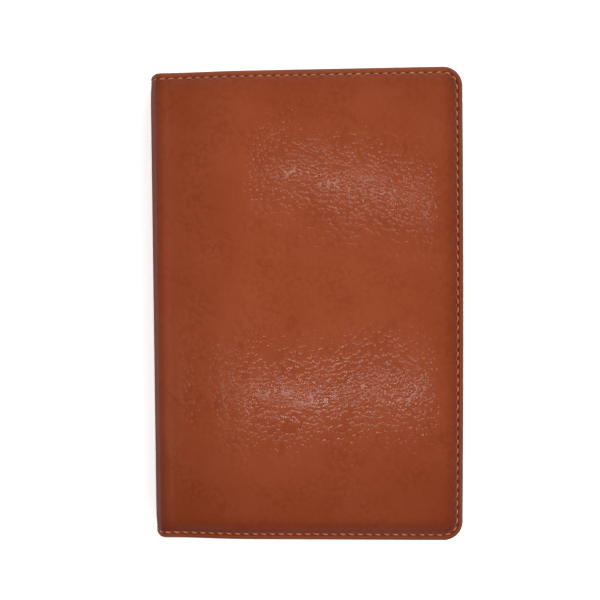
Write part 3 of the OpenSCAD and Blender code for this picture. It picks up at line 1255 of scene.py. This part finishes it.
@dataclass
class CoverHalf:
    """One half of the cover: leather, lining, sleeve and seam, from the spine to the fore-edge.

    The front half's pieces that reach round the spine stand for the spine's CAD nodes too.
    """

    section: Section
    side: Side
    step: float = 4.1 * MM / 8
    hinge_reach: float = 3.2 * MM
    edge_zone: float = 10 * MM
    sheet_zone: float = 6 * MM
    leather_dense_u: float = 16 * MM
    sheet_dense_u: float = 18 * MM
    lining_step: float = 1.2 * MM
    sleeve_step: float = 1.0 * MM
    card_step: float = 1.5 * MM
    card_corner_r: float = 6 * MM
    edge: EdgeShape = EdgeShape()
    pad: PadShape = PadShape()
    outer_stitch: Stitch = Stitch(2.9 * MM, 0.36 * MM)
    inner_stitch: Stitch = Stitch(2.9 * MM, 0.7 * 0.36 * MM)

    @property
    def sizes(self) -> CoverSizes:
        """The cover's sizes."""
        return self.section.sizes

    @property
    def name(self) -> str:
        """The half's name."""
        return self.side.value

    def build(self, leather: bpy.types.Material, cloth: bpy.types.Material,
              pocket: bpy.types.Material, thread: bpy.types.Material,
              card: bpy.types.Material) -> list[bpy.types.Object]:
        """Builds every piece of the half.

        Args:
            leather: the outer leather.
            cloth: the lining's cloth.
            pocket: the sleeve's leather.
            thread: the thread.
            card: the refill's card.

        Returns:
            The pieces.
        """
        return [self.leather(leather), self.lining(cloth), self.sleeve(pocket), self.seam(thread),
                self.card(card)]

    def outline(self, inset: float = 0.0, u0: float = 0.0, step: float | None = None) -> Outline:
        """The half's outline, moved in by an inset.

        Args:
            inset: the inset from every edge but the spine's.
            u0: where the outline starts.
            step: the distance between samples, if it isn't the half's own.

        Returns:
            The outline.
        """
        s = self.sizes
        return Outline(u0, self.section.length(self.side) - inset, s.half_h - inset,
                       s.corner_r - inset, step or self.step)

    def bend(self, piece: bpy.types.Object, node: str) -> None:
        """Bakes a piece's transform and hides the CAD nodes that it stands for: this half's, and on the
        front the spine's too.

        Args:
            piece: the object.
            node: the node's name, with a gap where front, back or spine stands.
        """
        pivot = self.sizes.pivot(self.side)
        self.name
        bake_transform(piece)
        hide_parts(node.format(self.name))
        if self.side is Side.FRONT:
            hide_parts(node.format("spine"))

    def leather(self, material: bpy.types.Material) -> bpy.types.Object:
        """Builds the outer leather: padded panel, sewn margin, rolled edge and turned hem.

        The rolled edge is a half circle of rings, from the margin's depth to the hem's.

        Args:
            material: the leather.

        Returns:
            The piece.
        """
        s, line, edge = self.sizes, self.outline(), self.edge
        run = line.seam_lengths(s.stitch_inset)
        pitch = Stitcher(self.section, self.side, line).pitch
        to_hole = (run + pitch / 2) % pitch - pitch / 2
        u_edge, _ = line.ring(edge.roll, edge.roll)
        drop = self.section.margin_depth(u_edge)
        middle, half = (s.lining_d0 + drop) / 2, (s.lining_d0 - drop) / 2
        rings = [self._panel_ring(line, t) for t in 1 - spread(40, 0, 1)]
        insets = np.concatenate([spread(11, 9.4, 4.0), spread(13, 3.7, 0.85)]) * MM
        rings += [self._margin_ring(line, d, to_hole) for d in insets]
        for a in np.radians(np.arange(20, 181, 20)):
            d = edge.roll * (1 - math.sin(a))
            # painted shadow on the rolled edge, darkest at its outermost ring
            dark = self._plain_values(run, 0.5 + 0.35 * math.sin(a))
            rings.append(Ring(d, d, middle - half * math.cos(a), True, dark))
        plain = self._plain_values(run, 0.3)
        rings += [Ring(d, d, depth, False, plain) for d, depth in edge.hem]
        rings += [self._under_ring(line, t) for t in spread(12, 0.02, 1)]
        shell = Shell(self.section, self.side, line, self.leather_dense_u)
        piece = shell.build(rings).to_object(f"{self.name}_cover_leather")
        dress(piece, material)
        self.bend(piece, "{}_leather")
        return piece

    @staticmethod
    def _plain_values(like: Array, painted_shade: float) -> dict[str, Array]:
        """Values of hidden leather: an even painted shade, with no rim, hole or polish."""
        blank = np.zeros_like(like)
        return {"painted_shade": blank + painted_shade, "rim": blank, "hole": blank, "panel": blank}

    def _middle_insets(self, line: Outline, t: float) -> tuple[float, float]:
        """Insets of a ring between the margin, where t is 0, and the panel's middle, where it is 1.

        Args:
            line: the leather's outline.
            t: the ring's place.

        Returns:
            The insets from the fore-edge and from the head and the tail.
        """
        reach_y = self.sizes.half_h - line.least_r - 0.5 * MM
        reach_u = 0.7 * line.u1
        zone = self.edge_zone
        return zone + t * (reach_u - zone), zone + t * (reach_y - zone)

    def _panel_ring(self, line: Outline, t: float) -> Ring:
        """Works out a ring of the padded face.

        Its depth is the margin's depth times one minus the pad's lift, plus the gutter.

        Args:
            line: the leather's outline.
            t: the ring's place, from 0 at the margin to 1 at the panel's middle.

        Returns:
            The ring.
        """
        du, dy = self._middle_insets(line, t)
        u, y = line.ring(du, dy)
        lift = self._plateau(u, y)
        # painted shade over the padded face
        values = {**self._plain_values(u, 0.0), "painted_shade": self._shade(u, y),
                  "panel": self._panel(lift, u)}
        depth = self.section.margin_depth(u) * (1 - lift) + self._gutter(u)
        return Ring(du, dy, depth, False, values)

    def _under_ring(self, line: Outline, t: float) -> Ring:
        """Works out a ring of the leather's underside, under the panel.

        Args:
            line: the leather's outline.
            t: the ring's place, from 0 at the margin to 1 at the panel's middle.

        Returns:
            The ring.
        """
        du, dy = self._middle_insets(line, t)
        u, y = line.ring(du, dy)
        # the hidden underside takes a weaker copy of the painted shade
        values = {**self._plain_values(u, 0.0), "painted_shade": 0.3 * self._shade(u, y),
                  "panel": self._panel(self._plateau(u, y), u)}
        return Ring(du, dy, self.sizes.leather_t, False, values)

    def _margin_ring(self, line: Outline, d: float, to_hole: Array) -> Ring:
        """Works out a ring of the sewn margin.

        Its depth is the margin's depth times one minus the pad's lift, plus a bell-shaped groove
        and a dimple at each stitch hole, less a low bell-shaped bead outside them.

        Args:
            line: the leather's outline.
            d: the ring's inset.
            to_hole: distance along the seam to the nearest hole, for every sample.

        Returns:
            The ring.
        """
        s, e = self.sizes, self.edge
        u, y = line.ring(d, d)
        lift = self._plateau(u, y)
        groove = bell(d - s.stitch_inset, e.groove_width)
        hole = bell(d - s.stitch_inset, e.hole_width) * np.exp(-(to_hole / e.hole_length) ** 4)
        bead = bell(d - e.bead_inset, e.bead_width)
        pressed = e.groove_depth * groove + e.hole_depth * hole - e.bead_height * bead
        depth = self.section.margin_depth(u) * (1 - lift) + pressed + self._gutter(u) * lift
        # painted shade beside the seam, lighter on the bead, and a painted shadow along the outermost edge
        outside = smooth((e.dark_inset - d) / e.dark_ramp)
        values = {
            "painted_shade": np.maximum(self._shade(u, y) * (1 - 0.6 * bead), 0.8 * outside),
            "rim": smooth(1 - np.abs(d - e.rim_inset) / e.rim_width) + 0 * u,
            # painted shade: strongest in the stitch holes, weaker along the groove
            "hole": np.clip(1.15 * hole + 0.25 * groove, 0, 1),
            "panel": self._panel(lift, u),
        }
        return Ring(d, d, depth, True, values)

    def _shade(self, u: Array, y: Array) -> Array:
        """How dark the leather is painted with shade.

        This painted shade stands for the light falling off: it is darkest on the spine's bow and beside
        the seam, most of all at the tail. Each part fades as one minus a smooth ramp of the distance from
        the spine or from an edge; the light that each lets through is multiplied.

        Args:
            u: unrolled lengths.
            y: places along the height.

        Returns:
            The share of the darker colour, from 0 to 1.
        """
        s = self.sizes
        fore, head, tail = self.section.length(self.side) - u, s.half_h - y, s.half_h + y
        parts = ((u, 0.70, 14), (u, 0.24, 50), (fore, 0.74, 12), (fore, 0.10, 40),
                 (head, 0.28, 12), (head, 0.12, 40), (tail, 0.78, 12), (tail, 0.32, 70))
        through = 1.0
        for distance, share, reach_mm in parts:
            through = through * (1 - share * (1 - smooth(distance / (reach_mm * MM))))
        return 1 - through

    def _panel(self, lift: Array, u: Array) -> Array:
        """Where the leather is polished: 1 over the panel, 0 on its margins, -1 on the spine's bow.

        Args:
            lift: how far the pad lifts the leather.
            u: unrolled lengths.

        Returns:
            The lift times a smooth ramp past the spine, less a smooth ramp towards the bow.
        """
        p = self.pad
        polish = lift * smooth((u - p.polish_start) / p.polish_ramp)
        return polish - smooth((p.bow_end - u) / p.bow_ramp)

    def _plateau(self, u: Array, y: Array) -> Array:
        """How far the pad lifts the leather.

        For the fore-edge, the head and the tail: one minus exp of minus a power of the distance
        past the seam; the three are multiplied.

        Args:
            u: unrolled lengths.
            y: places along the height.

        Returns:
            The lift, from 0 at the seam to 1 over the panel.
        """
        s, p, lift = self.sizes, self.pad, 1.0
        for distance in (self.section.length(self.side) - u, s.half_h - y, s.half_h + y):
            past = np.clip(distance - p.start, 0, None) / p.reach
            lift = lift * (1 - np.exp(-past ** p.power))
        return lift

    def _gutter(self, u: Array) -> Array:
        """A faint bell-shaped crease where the board ends, beside the fold.

        Args:
            u: unrolled lengths.

        Returns:
            The crease's depths.
        """
        board_end = self.sizes.fold_centre(self.side)[0] + self.pad.gutter_past
        gap = u - self.section.u_at(self.side, board_end)
        return self.pad.gutter_depth * bell(gap, self.pad.gutter_width)

    def lining(self, material: bpy.types.Material) -> bpy.types.Object:
        """Builds the lining: a thin cloth sheet with rounded edges.

        Args:
            material: the cloth.

        Returns:
            The piece.
        """
        s = self.sizes
        line = self.outline(s.lining_inset, step=self.lining_step)
        shell = Shell(self.section, self.side, line, self.sheet_dense_u)
        rings = self._sheet_rings(line, lambda d: s.lining_d0 + 0.01 * MM, lambda d: s.lining_d1)
        piece = shell.build(rings).to_object(f"{self.name}_lining_cloth")
        dress(piece, material)
        self.bend(piece, "{}_lining")
        return piece

    def _sheet_rings(self, line: Outline, outer: Callable[[float], float],
                     inner: Callable[[float], float]) -> list[Ring]:
        """Works out the rings of a thin sheet, with a rounded edge between its two faces.

        Args:
            line: the sheet's outline.
            outer: depth of the face nearer the cover's outside, from the distance to the edge.
            inner: depth of the other face, from the distance to the edge.

        Returns:
            The rings, from the middle of one face to the middle of the other.
        """
        zone = self.sheet_zone
        reach_y = line.half_h - line.least_r - 0.5 * MM
        reach_u = 0.7 * (line.u1 - line.u0)

        def middle_ring(t: float, depth: float) -> Ring:
            """A coarse ring, from the edge's zone where t is 0 to the sheet's middle."""
            return Ring(zone + t * (reach_u - zone), zone + t * (reach_y - zone), depth, False)

        low, high = outer(0.0), inner(0.0)
        thick = high - low
        rings = [middle_ring(t, outer(zone)) for t in 1 - spread(20, 0, 1)]
        rings += [Ring(d * MM, d * MM, outer(d * MM)) for d in (4.0, 2.0, 0.6)]
        rings += [Ring(0.05 * MM, 0.05 * MM, low + thick * 0.15),
                  Ring(0.0, 0.0, low + thick / 2),
                  Ring(0.05 * MM, 0.05 * MM, high - thick * 0.15)]
        rings += [Ring(d * MM, d * MM, inner(d * MM))
                  for d in (0.3, 0.9, 1.5, 2.0, 2.4, 2.8, 3.2, 3.7, 4.5, 5.4)]
        rings += [middle_ring(t, inner(zone)) for t in spread(20, 0, 1)]
        return rings

    def sleeve(self, material: bpy.types.Material) -> bpy.types.Object:
        """Builds the leather sleeve: it lies on the lining at its seam and steps up over the card.

        Args:
            material: the leather.

        Returns:
            The piece.
        """
        s = self.sizes
        u_mouth = self.section.u_at(self.side, s.mouth(self.side))
        line = self.outline(s.lining_inset, u_mouth, self.sleeve_step)
        seam = s.pocket_inset - s.lining_inset - 0.2 * MM

        def outer(d: float) -> float:
            """The face over the card, which steps up at once past the seam."""
            return s.lining_d1 + 0.02 * MM + (s.sleeve_d0 - s.lining_d1 if d > seam else 0.0)

        def inner(d: float) -> float:
            """The face towards the pages, which steps up by a smooth ramp."""
            rise = smooth((d - 1.6 * MM) / (1.2 * MM))
            return float(s.sleeve_rim_d1 + (s.sleeve_d1 - s.sleeve_rim_d1) * rise)

        rings = self._sheet_rings(line, outer, inner)
        piece = Shell(self.section, self.side, line).build(rings).to_object(f"{self.name}_sleeve_leather")
        dress(piece, material)
        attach(piece, self.name)
        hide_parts(f"{self.name}_sleeve")
        return piece

    def seam(self, material: bpy.types.Material) -> bpy.types.Object:
        """Builds the seam's outer and inner rows of stitches.

        Args:
            material: the thread.

        Returns:
            The piece.
        """
        s = self.sizes
        u_mouth = self.section.u_at(self.side, s.mouth(self.side))
        stitcher = Stitcher(self.section, self.side, self.outline())

        def groove(u: Array) -> Array:
            """Depth of the groove in the outer leather."""
            return self.section.margin_depth(u) + self.edge.groove_depth

        def inside(u: Array) -> Array:
            """Depth of the lining, or of the sleeve past its mouth."""
            return np.where(u > u_mouth, s.sleeve_rim_d1, s.lining_d1)

        rows = [stitcher.sew(groove, 1, self.outer_stitch), stitcher.sew(inside, -1, self.inner_stitch)]
        piece = join_surfaces(rows).to_object(f"{self.name}_seam_thread", 60)
        dress(piece, material)
        self.bend(piece, "{}_thread")
        return piece

    def card(self, material: bpy.types.Material) -> bpy.types.Object:
        """Builds the refill's card cover on this side, from its spine's middle to its fore-edge.

        Args:
            material: the card.

        Returns:
            The piece.
        """
        s = self.sizes
        low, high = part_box(f"refill_{self.name}_cover")
        u1 = self.section.u_at(self.side, high.x)
        line = Outline(0.0, u1, (high.y - low.y) / 2, self.card_corner_r, self.card_step)
        shell = Shell(self.section, self.side, line, self.sheet_dense_u)
        rings = self._sheet_rings(line, lambda d: s.card_d0, lambda d: s.card_d1)
        piece = shell.build(rings).to_object(f"refill_{self.name}_card")
        dress(piece, material)
        self.bend(piece, "refill_{}_cover")
        return piece


# ---------------------------------------------------------------- inside the cover


@dataclass
class Refill:
    """The page block: sections of folded sheets, the spine tape and the hinge strip."""

    sheets_per_section: int = 5
    leaf_gap: float = 0.012 * MM
    creep: float = 0.10 * MM
    shingle: float = 0.02 * MM
    corner_r: float = 6 * MM
    flat_past: float = 20 * MM
    seed: int = 7

    def build(self, paper: bpy.types.Material, tape: bpy.types.Material) -> list[bpy.types.Object]:
        """Builds the page sections and dresses the tape and the hinge strip.

        Args:
            paper: the paper.
            tape: the spine tape's cloth.

        Returns:
            The pieces.
        """
        rng = np.random.default_rng(self.seed)
        pieces = [self._signature(node, paper, rng) for node in self._section_names()]
        for node, material in (("refill_spine_tape", tape), ("refill_hinge_strip", paper)):
            dress(frame["nodes"][node], material)
            pieces.append(frame["nodes"][node])
        return pieces

    def _section_names(self) -> list[str]:
        """The page sections' node names, from the back up."""
        names = [name for name in frame["nodes"] if name.startswith("signature_")]
        return sorted(names, key=lambda name: int(name.rsplit("_", 1)[1]))

    def _signature(self, node: str, material: bpy.types.Material,
                   rng: np.random.Generator) -> bpy.types.Object:
        """Builds one section: nested sheets, each folded round the next at the spine.

        The leaves' fore-edges are a little uneven, and the inner sheets' stand further out.

        Args:
            node: the CAD node that the section stands for.
            material: the paper.
            rng: the source of the leaves' small offsets.

        Returns:
            The piece.
        """
        low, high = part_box(node)
        half_t, half_h = (high.z - low.z) / 2, (high.y - low.y) / 2
        middle_z = (low.z + high.z) / 2
        pitch = half_t / self.sheets_per_section
        parts = []
        for k in range(self.sheets_per_section):
            r = half_t - (k + 0.5) * pitch
            ends = high.x - self.creep * rng.random(2) - self.shingle * (self.sheets_per_section - k)
            fold = np.array([low.x + half_t, middle_z])
            parts.append(self._sheet(fold, ends, r, pitch / 2 - self.leaf_gap, half_h))
        piece = join_surfaces(parts).to_object(f"{node}_sheets", 30)
        dress(piece, material)
        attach(piece, "back")
        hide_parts(node)
        return piece

    def _sheet(self, fold: Array, ends: Array, r: float, half_t: float, half_h: float) -> Surface:
        """Works out one folded sheet, as a closed strip between its head and its tail.

        Its middle line runs along the lower leaf, round a half circle at the spine and back along
        the upper leaf. The head and the tail lie at the half height, less a circle's fall within
        the corner radius of the leaf's end.

        Args:
            fold: X and Z of the half circle's centre.
            ends: X of the lower and the upper leaf's end.
            r: radius of the middle line's half circle.
            half_t: half of the paper's thickness.
            half_h: half of the page's height.

        Returns:
            The sheet.
        """
        turn = np.linspace(-np.pi / 2, -3 * np.pi / 2, 9)
        corner = self.corner_r * (1 - np.cos(np.linspace(0, np.pi / 2, 8)))
        flat_x = fold[0] + self.flat_past
        lower = np.append(ends[0] - corner, flat_x)
        upper = np.append(ends[1] - corner, flat_x)[::-1]
        x = np.concatenate([lower, fold[0] + r * np.cos(turn), upper])
        facing = np.concatenate([np.full(len(lower), turn[0]), turn, np.full(len(upper), turn[-1])])
        z = fold[1] + r * np.sin(facing)
        end_x = np.where(np.sin(facing) < 0, ends[0], ends[1])
        into = np.clip((x - (end_x - self.corner_r)) / self.corner_r, 0, 1)
        reach = half_h - self.corner_r * (1 - np.sqrt(1 - into ** 2))
        rows = [np.stack([x + off * np.cos(facing), z + off * np.sin(facing)], 1)
                for off in (half_t, -half_t)]
        loop = np.concatenate([rows[0], rows[1][::-1]])
        y = np.concatenate([reach, reach[::-1]])
        points = np.concatenate([np.stack([loop[:, 0], sign * y, loop[:, 1]], 1) for sign in (1, -1)])
        n = len(loop)
        ids = np.arange(n)
        after = np.roll(ids, -1)
        walls = np.stack([ids, after, after + n, ids + n], 1)
        j = np.arange(n // 2 - 1)
        head = np.stack([j, n - 1 - j, n - 2 - j, j + 1], 1)
        return Surface(points, [walls, head, head[:, ::-1] + n], points[:, :2])


@dataclass
class CardSlots:
    """Stepped card slots on the front sleeve, each a sheet with a rolled edge."""

    edge_r: float = 0.22 * MM
    corner_r: float = 3 * MM
    corner_samples: int = 9

    def build(self, leather: bpy.types.Material, thread: bpy.types.Material) -> list[bpy.types.Object]:
        """Builds every slot and dresses their thread.

        Args:
            leather: the sleeves' leather.
            thread: the thread.

        Returns:
            The pieces.
        """
        pieces = []
        for node in sorted(name for name in frame["nodes"] if name.startswith("card_slot_")):
            low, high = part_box(node)
            piece = self._slot(low, high).to_object(f"{node}_leather")
            dress(piece, leather)
            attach(piece, "front")
            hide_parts(node)
            pieces.append(piece)
        dress(frame["nodes"]["slot_thread"], thread)
        return [*pieces, frame["nodes"]["slot_thread"]]

    def _slot(self, low: Vector, high: Vector) -> Surface:
        """Sweeps a rounded rectangle in rings, from the sheet's top round to its underside.

        A ring at an inset d is the rectangle less d, with corners of the corner radius less d.

        Args:
            low: the slot's lowest corner.
            high: the slot's highest corner.

        Returns:
            The sheet.
        """
        centre = np.array([(low.x + high.x) / 2, (low.y + high.y) / 2])
        half = np.array([(high.x - low.x) / 2, (high.y - low.y) / 2])
        mid_z, half_t = (low.z + high.z) / 2, (high.z - low.z) / 2 - 0.01 * MM
        quarter = np.linspace(0, np.pi / 2, self.corner_samples)
        a = np.concatenate([quarter + q for q in np.arange(4) * np.pi / 2])
        quadrant = np.repeat(np.arange(4), self.corner_samples)
        signs = np.stack([np.where((quadrant == 0) | (quadrant == 3), 1, -1),
                          np.where(quadrant < 2, 1, -1)], 1)
        rings = []
        for inset, z in self._profile(half_t):
            r = max(self.corner_r - inset, 0.3 * MM)
            xy = centre + signs * (half - inset - r) + r * np.stack([np.cos(a), np.sin(a)], 1)
            rings.append(np.column_stack([xy, np.full(len(xy), mid_z + z)]))
        points = np.concatenate(rings)
        n = len(a)
        i = np.arange(n)
        after = np.roll(i, -1)
        faces = [np.stack([i + k * n, i + (k + 1) * n, after + (k + 1) * n, after + k * n], 1)
                 for k in range(len(rings) - 1)]
        last = (len(rings) - 1) * n
        faces += [i[None], i[None, ::-1] + last]
        return Surface(points, faces, points[:, :2])

    def _profile(self, half_t: float) -> list[tuple[float, float]]:
        """Works out the edge, a half ellipse as high as the sheet is thick.

        Args:
            half_t: half of the sheet's thickness.

        Returns:
            Insets and heights, from the upper face to the lower one.
        """
        bend = np.linspace(0, np.pi, 7)
        edge = [(self.edge_r * (1 - math.sin(b)), half_t * math.cos(b)) for b in bend]
        return [(4 * MM, half_t), (1.4 * MM, half_t), *edge, (1.4 * MM, -half_t), (4 * MM, -half_t)]


@dataclass
class InnerLayers:
    """The foam and the boards, which the leather and the lining enclose."""

    parts: tuple[str, ...] = ("back", "spine", "front")

    def build(self, foam: bpy.types.Material, board: bpy.types.Material) -> list[bpy.types.Object]:
        """Dresses the CAD nodes of the foam and the boards.

        Args:
            foam: the foam.
            board: the grey board.

        Returns:
            The pieces.
        """
        pieces = []
        for part in self.parts:
            for layer, material in (("foam", foam), ("board", board)):
                piece = frame["nodes"][f"{part}_{layer}"]
                dress(piece, material)
                pieces.append(piece)
        return pieces


# ---------------------------------------------------------------- the studio


@dataclass(frozen=True)
class SoftBox:
    """A small area light: its name, its centre, its power and its sizes."""

    name: str
    centre: tuple[float, float]
    power: float
    size: tuple[float, float] = (0.080, 0.022)
    height: float = 1.20


@dataclass
class Studio:
    """A pale floor, rows of small lamps over the cover and a camera straight above it.

    The sky is bright up to dim_from and dim past dim_to, both the sine of its height, and falls to
    spine_share of itself from spine_to to spine_from, both the cosine of its angle from +X.
    """

    floor_half: float = 3.0
    floor_glow: float = 0.45
    floor_colour: Colour = (0.96, 0.96, 0.96)
    floor_shade: Colour = (0.90, 0.90, 0.90)
    target: Vector = field(default_factory=lambda: Vector((-3.0, 3.13, 18)) * MM)
    distance: float = 0.45
    lean_x: float = -0.1
    lean_y: float = 2.33
    roll: float = -0.42
    lens: float = 58.26
    boxes: tuple[SoftBox, ...] = (
        SoftBox("near_box_1", (-0.330, -0.205), 0.030, (0.120, 0.022)),
        SoftBox("near_box_2", (-0.220, -0.200), 0.032, (0.100, 0.022)),
        SoftBox("near_box_3", (-0.130, -0.215), 0.038),
        SoftBox("near_box_4", (-0.050, -0.196), 0.052),
        SoftBox("near_box_5", (0.030, -0.208), 0.058),
        SoftBox("near_box_6", (0.110, -0.184), 0.058),
        SoftBox("near_box_7", (0.190, -0.200), 0.054),
        SoftBox("far_box_1", (-0.020, 0.172), 0.034),
        SoftBox("far_box_2", (0.055, 0.150), 0.040),
        SoftBox("far_box_3", (0.130, 0.140), 0.040),
        SoftBox("far_box_4", (0.205, 0.118), 0.034),
    )
    ambient: float = 2.41
    overhead: float = 0.02
    dim_from: float = 0.68
    dim_to: float = 0.86
    head_gain: float = 0.25
    spine_share: float = 0.24
    spine_from: float = -0.75
    spine_to: float = 0.10

    def build(self) -> None:
        """Builds the floor, the lights, the world and the camera."""
        self._floor()
        for box in self.boxes:
            self._light(box)
        self._sky()
        bpy.context.scene.view_settings.view_transform = "Standard"
        self._camera()

    def _floor(self) -> None:
        """Lays a large pale sheet on the ground."""
        h = self.floor_half
        mesh = bpy.data.meshes.new("studio_floor")
        mesh.from_pydata([(-h, -h, 0), (h, -h, 0), (h, h, 0), (-h, h, 0)], [], [(0, 1, 2, 3)])
        floor = bpy.data.objects.new("studio_floor", mesh)
        bpy.context.scene.collection.objects.link(floor)
        material, g, shader, vector = start_material("floor_paper", 0.9, Place.OBJECT, 0.2)
        tone = g.span(g.noise(vector, 3.0), 0.3, 0.7, 0.0, 0.02)
        g.feed(shader.inputs["Base Color"], g.mix(tone, self.floor_colour, self.floor_shade))
        g.feed(shader.inputs["Emission Color"], (1.0, 1.0, 1.0))
        shader.inputs["Emission Strength"].default_value = self.floor_glow
        dress(floor, material)
        floor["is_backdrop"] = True

    def _sky(self) -> None:
        """Makes a sky that is bright round the horizon, and dim overhead and on the spine's side."""
        world = bpy.data.worlds.new("studio_world")
        world.use_nodes = True
        g = Graph(world.node_tree)
        parts = g.node("ShaderNodeSeparateXYZ", {0: g.node("ShaderNodeTexCoord").outputs["Generated"]})
        around = g.span(parts.outputs[2], self.dim_from, self.dim_to, self.ambient, self.overhead)
        tilt = g.maths("MULTIPLY_ADD", parts.outputs[1], self.head_gain, 1.0)
        spine = g.span(parts.outputs[0], self.spine_from, self.spine_to, self.spine_share, 1.0)
        strength = g.maths("MULTIPLY", g.maths("MULTIPLY", around, tilt), spine)
        background = world.node_tree.nodes["Background"]
        g.feed(background.inputs["Strength"], strength)
        g.feed(background.inputs["Color"], (1.0, 1.0, 1.0))
        bpy.context.scene.world = world

    def _light(self, box: SoftBox) -> None:
        """Hangs one area light, which points at the origin.

        Args:
            box: the light.
        """
        data = bpy.data.lights.new(box.name, "AREA")
        data.shape = "ELLIPSE"
        data.size, data.size_y = box.size
        data.energy = box.power
        light = bpy.data.objects.new(box.name, data)
        light.location = (*box.centre, box.height)
        light.rotation_euler = (-light.location).to_track_quat("-Z", "Y").to_euler()
        bpy.context.scene.collection.objects.link(light)

    def _camera(self) -> None:
        """Sets a camera over the cover, leaning a little towards the head."""
        data = bpy.data.cameras.new("camera")
        data.lens = self.lens
        data.sensor_width = 36
        data.clip_start, data.clip_end = 0.01, 20
        camera = bpy.data.objects.new("camera", data)
        back = Vector((math.tan(math.radians(self.lean_x)), math.tan(math.radians(self.lean_y)), 1))
        back.normalize()
        right = Vector((0, 1, 0)).cross(back).normalized()
        up = back.cross(right)
        roll = math.radians(self.roll)
        right, up = (right * math.cos(roll) + up * math.sin(roll),
                     up * math.cos(roll) - right * math.sin(roll))
        place = self.target + back * self.distance
        matrix = Matrix((right, up, back)).transposed().to_4x4()
        camera.matrix_world = Matrix.Translation(place) @ matrix
        bpy.context.scene.collection.objects.link(camera)
        bpy.context.scene.camera = camera


def main() -> None:
    """Builds and dresses every piece in order, and reports each one."""
    section = Section(CoverSizes.from_frame())
    Studio().build()
    leather, pocket = CoverLeather().build(), CoverLeather.for_pockets().build()
    cloth, thread, card = LiningCloth().build(), SewingThread().build(), CardBoard().build()
    paper, tape = PagePaper().build(), SpineTape().build()
    foam, board = Foam().build(), CardBoard.grey().build()
    pieces = []
    for side in Side:
        pieces += CoverHalf(section, side).build(leather, cloth, pocket, thread, card)
    pieces += Refill().build(paper, tape)
    pieces += CardSlots().build(pocket, thread)
    pieces += InnerLayers().build(foam, board)
    for piece in pieces:
        LOG.info("%s: %d faces", piece.name, len(piece.data.polygons))


if __name__ == "__main__":
    logging.basicConfig(level=logging.INFO, format="%(message)s")
    main()
    boxes = {"cad": CAD_BOX, "visual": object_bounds()}
    {key: [list(corner) for corner in box] for key, box in boxes.items()}
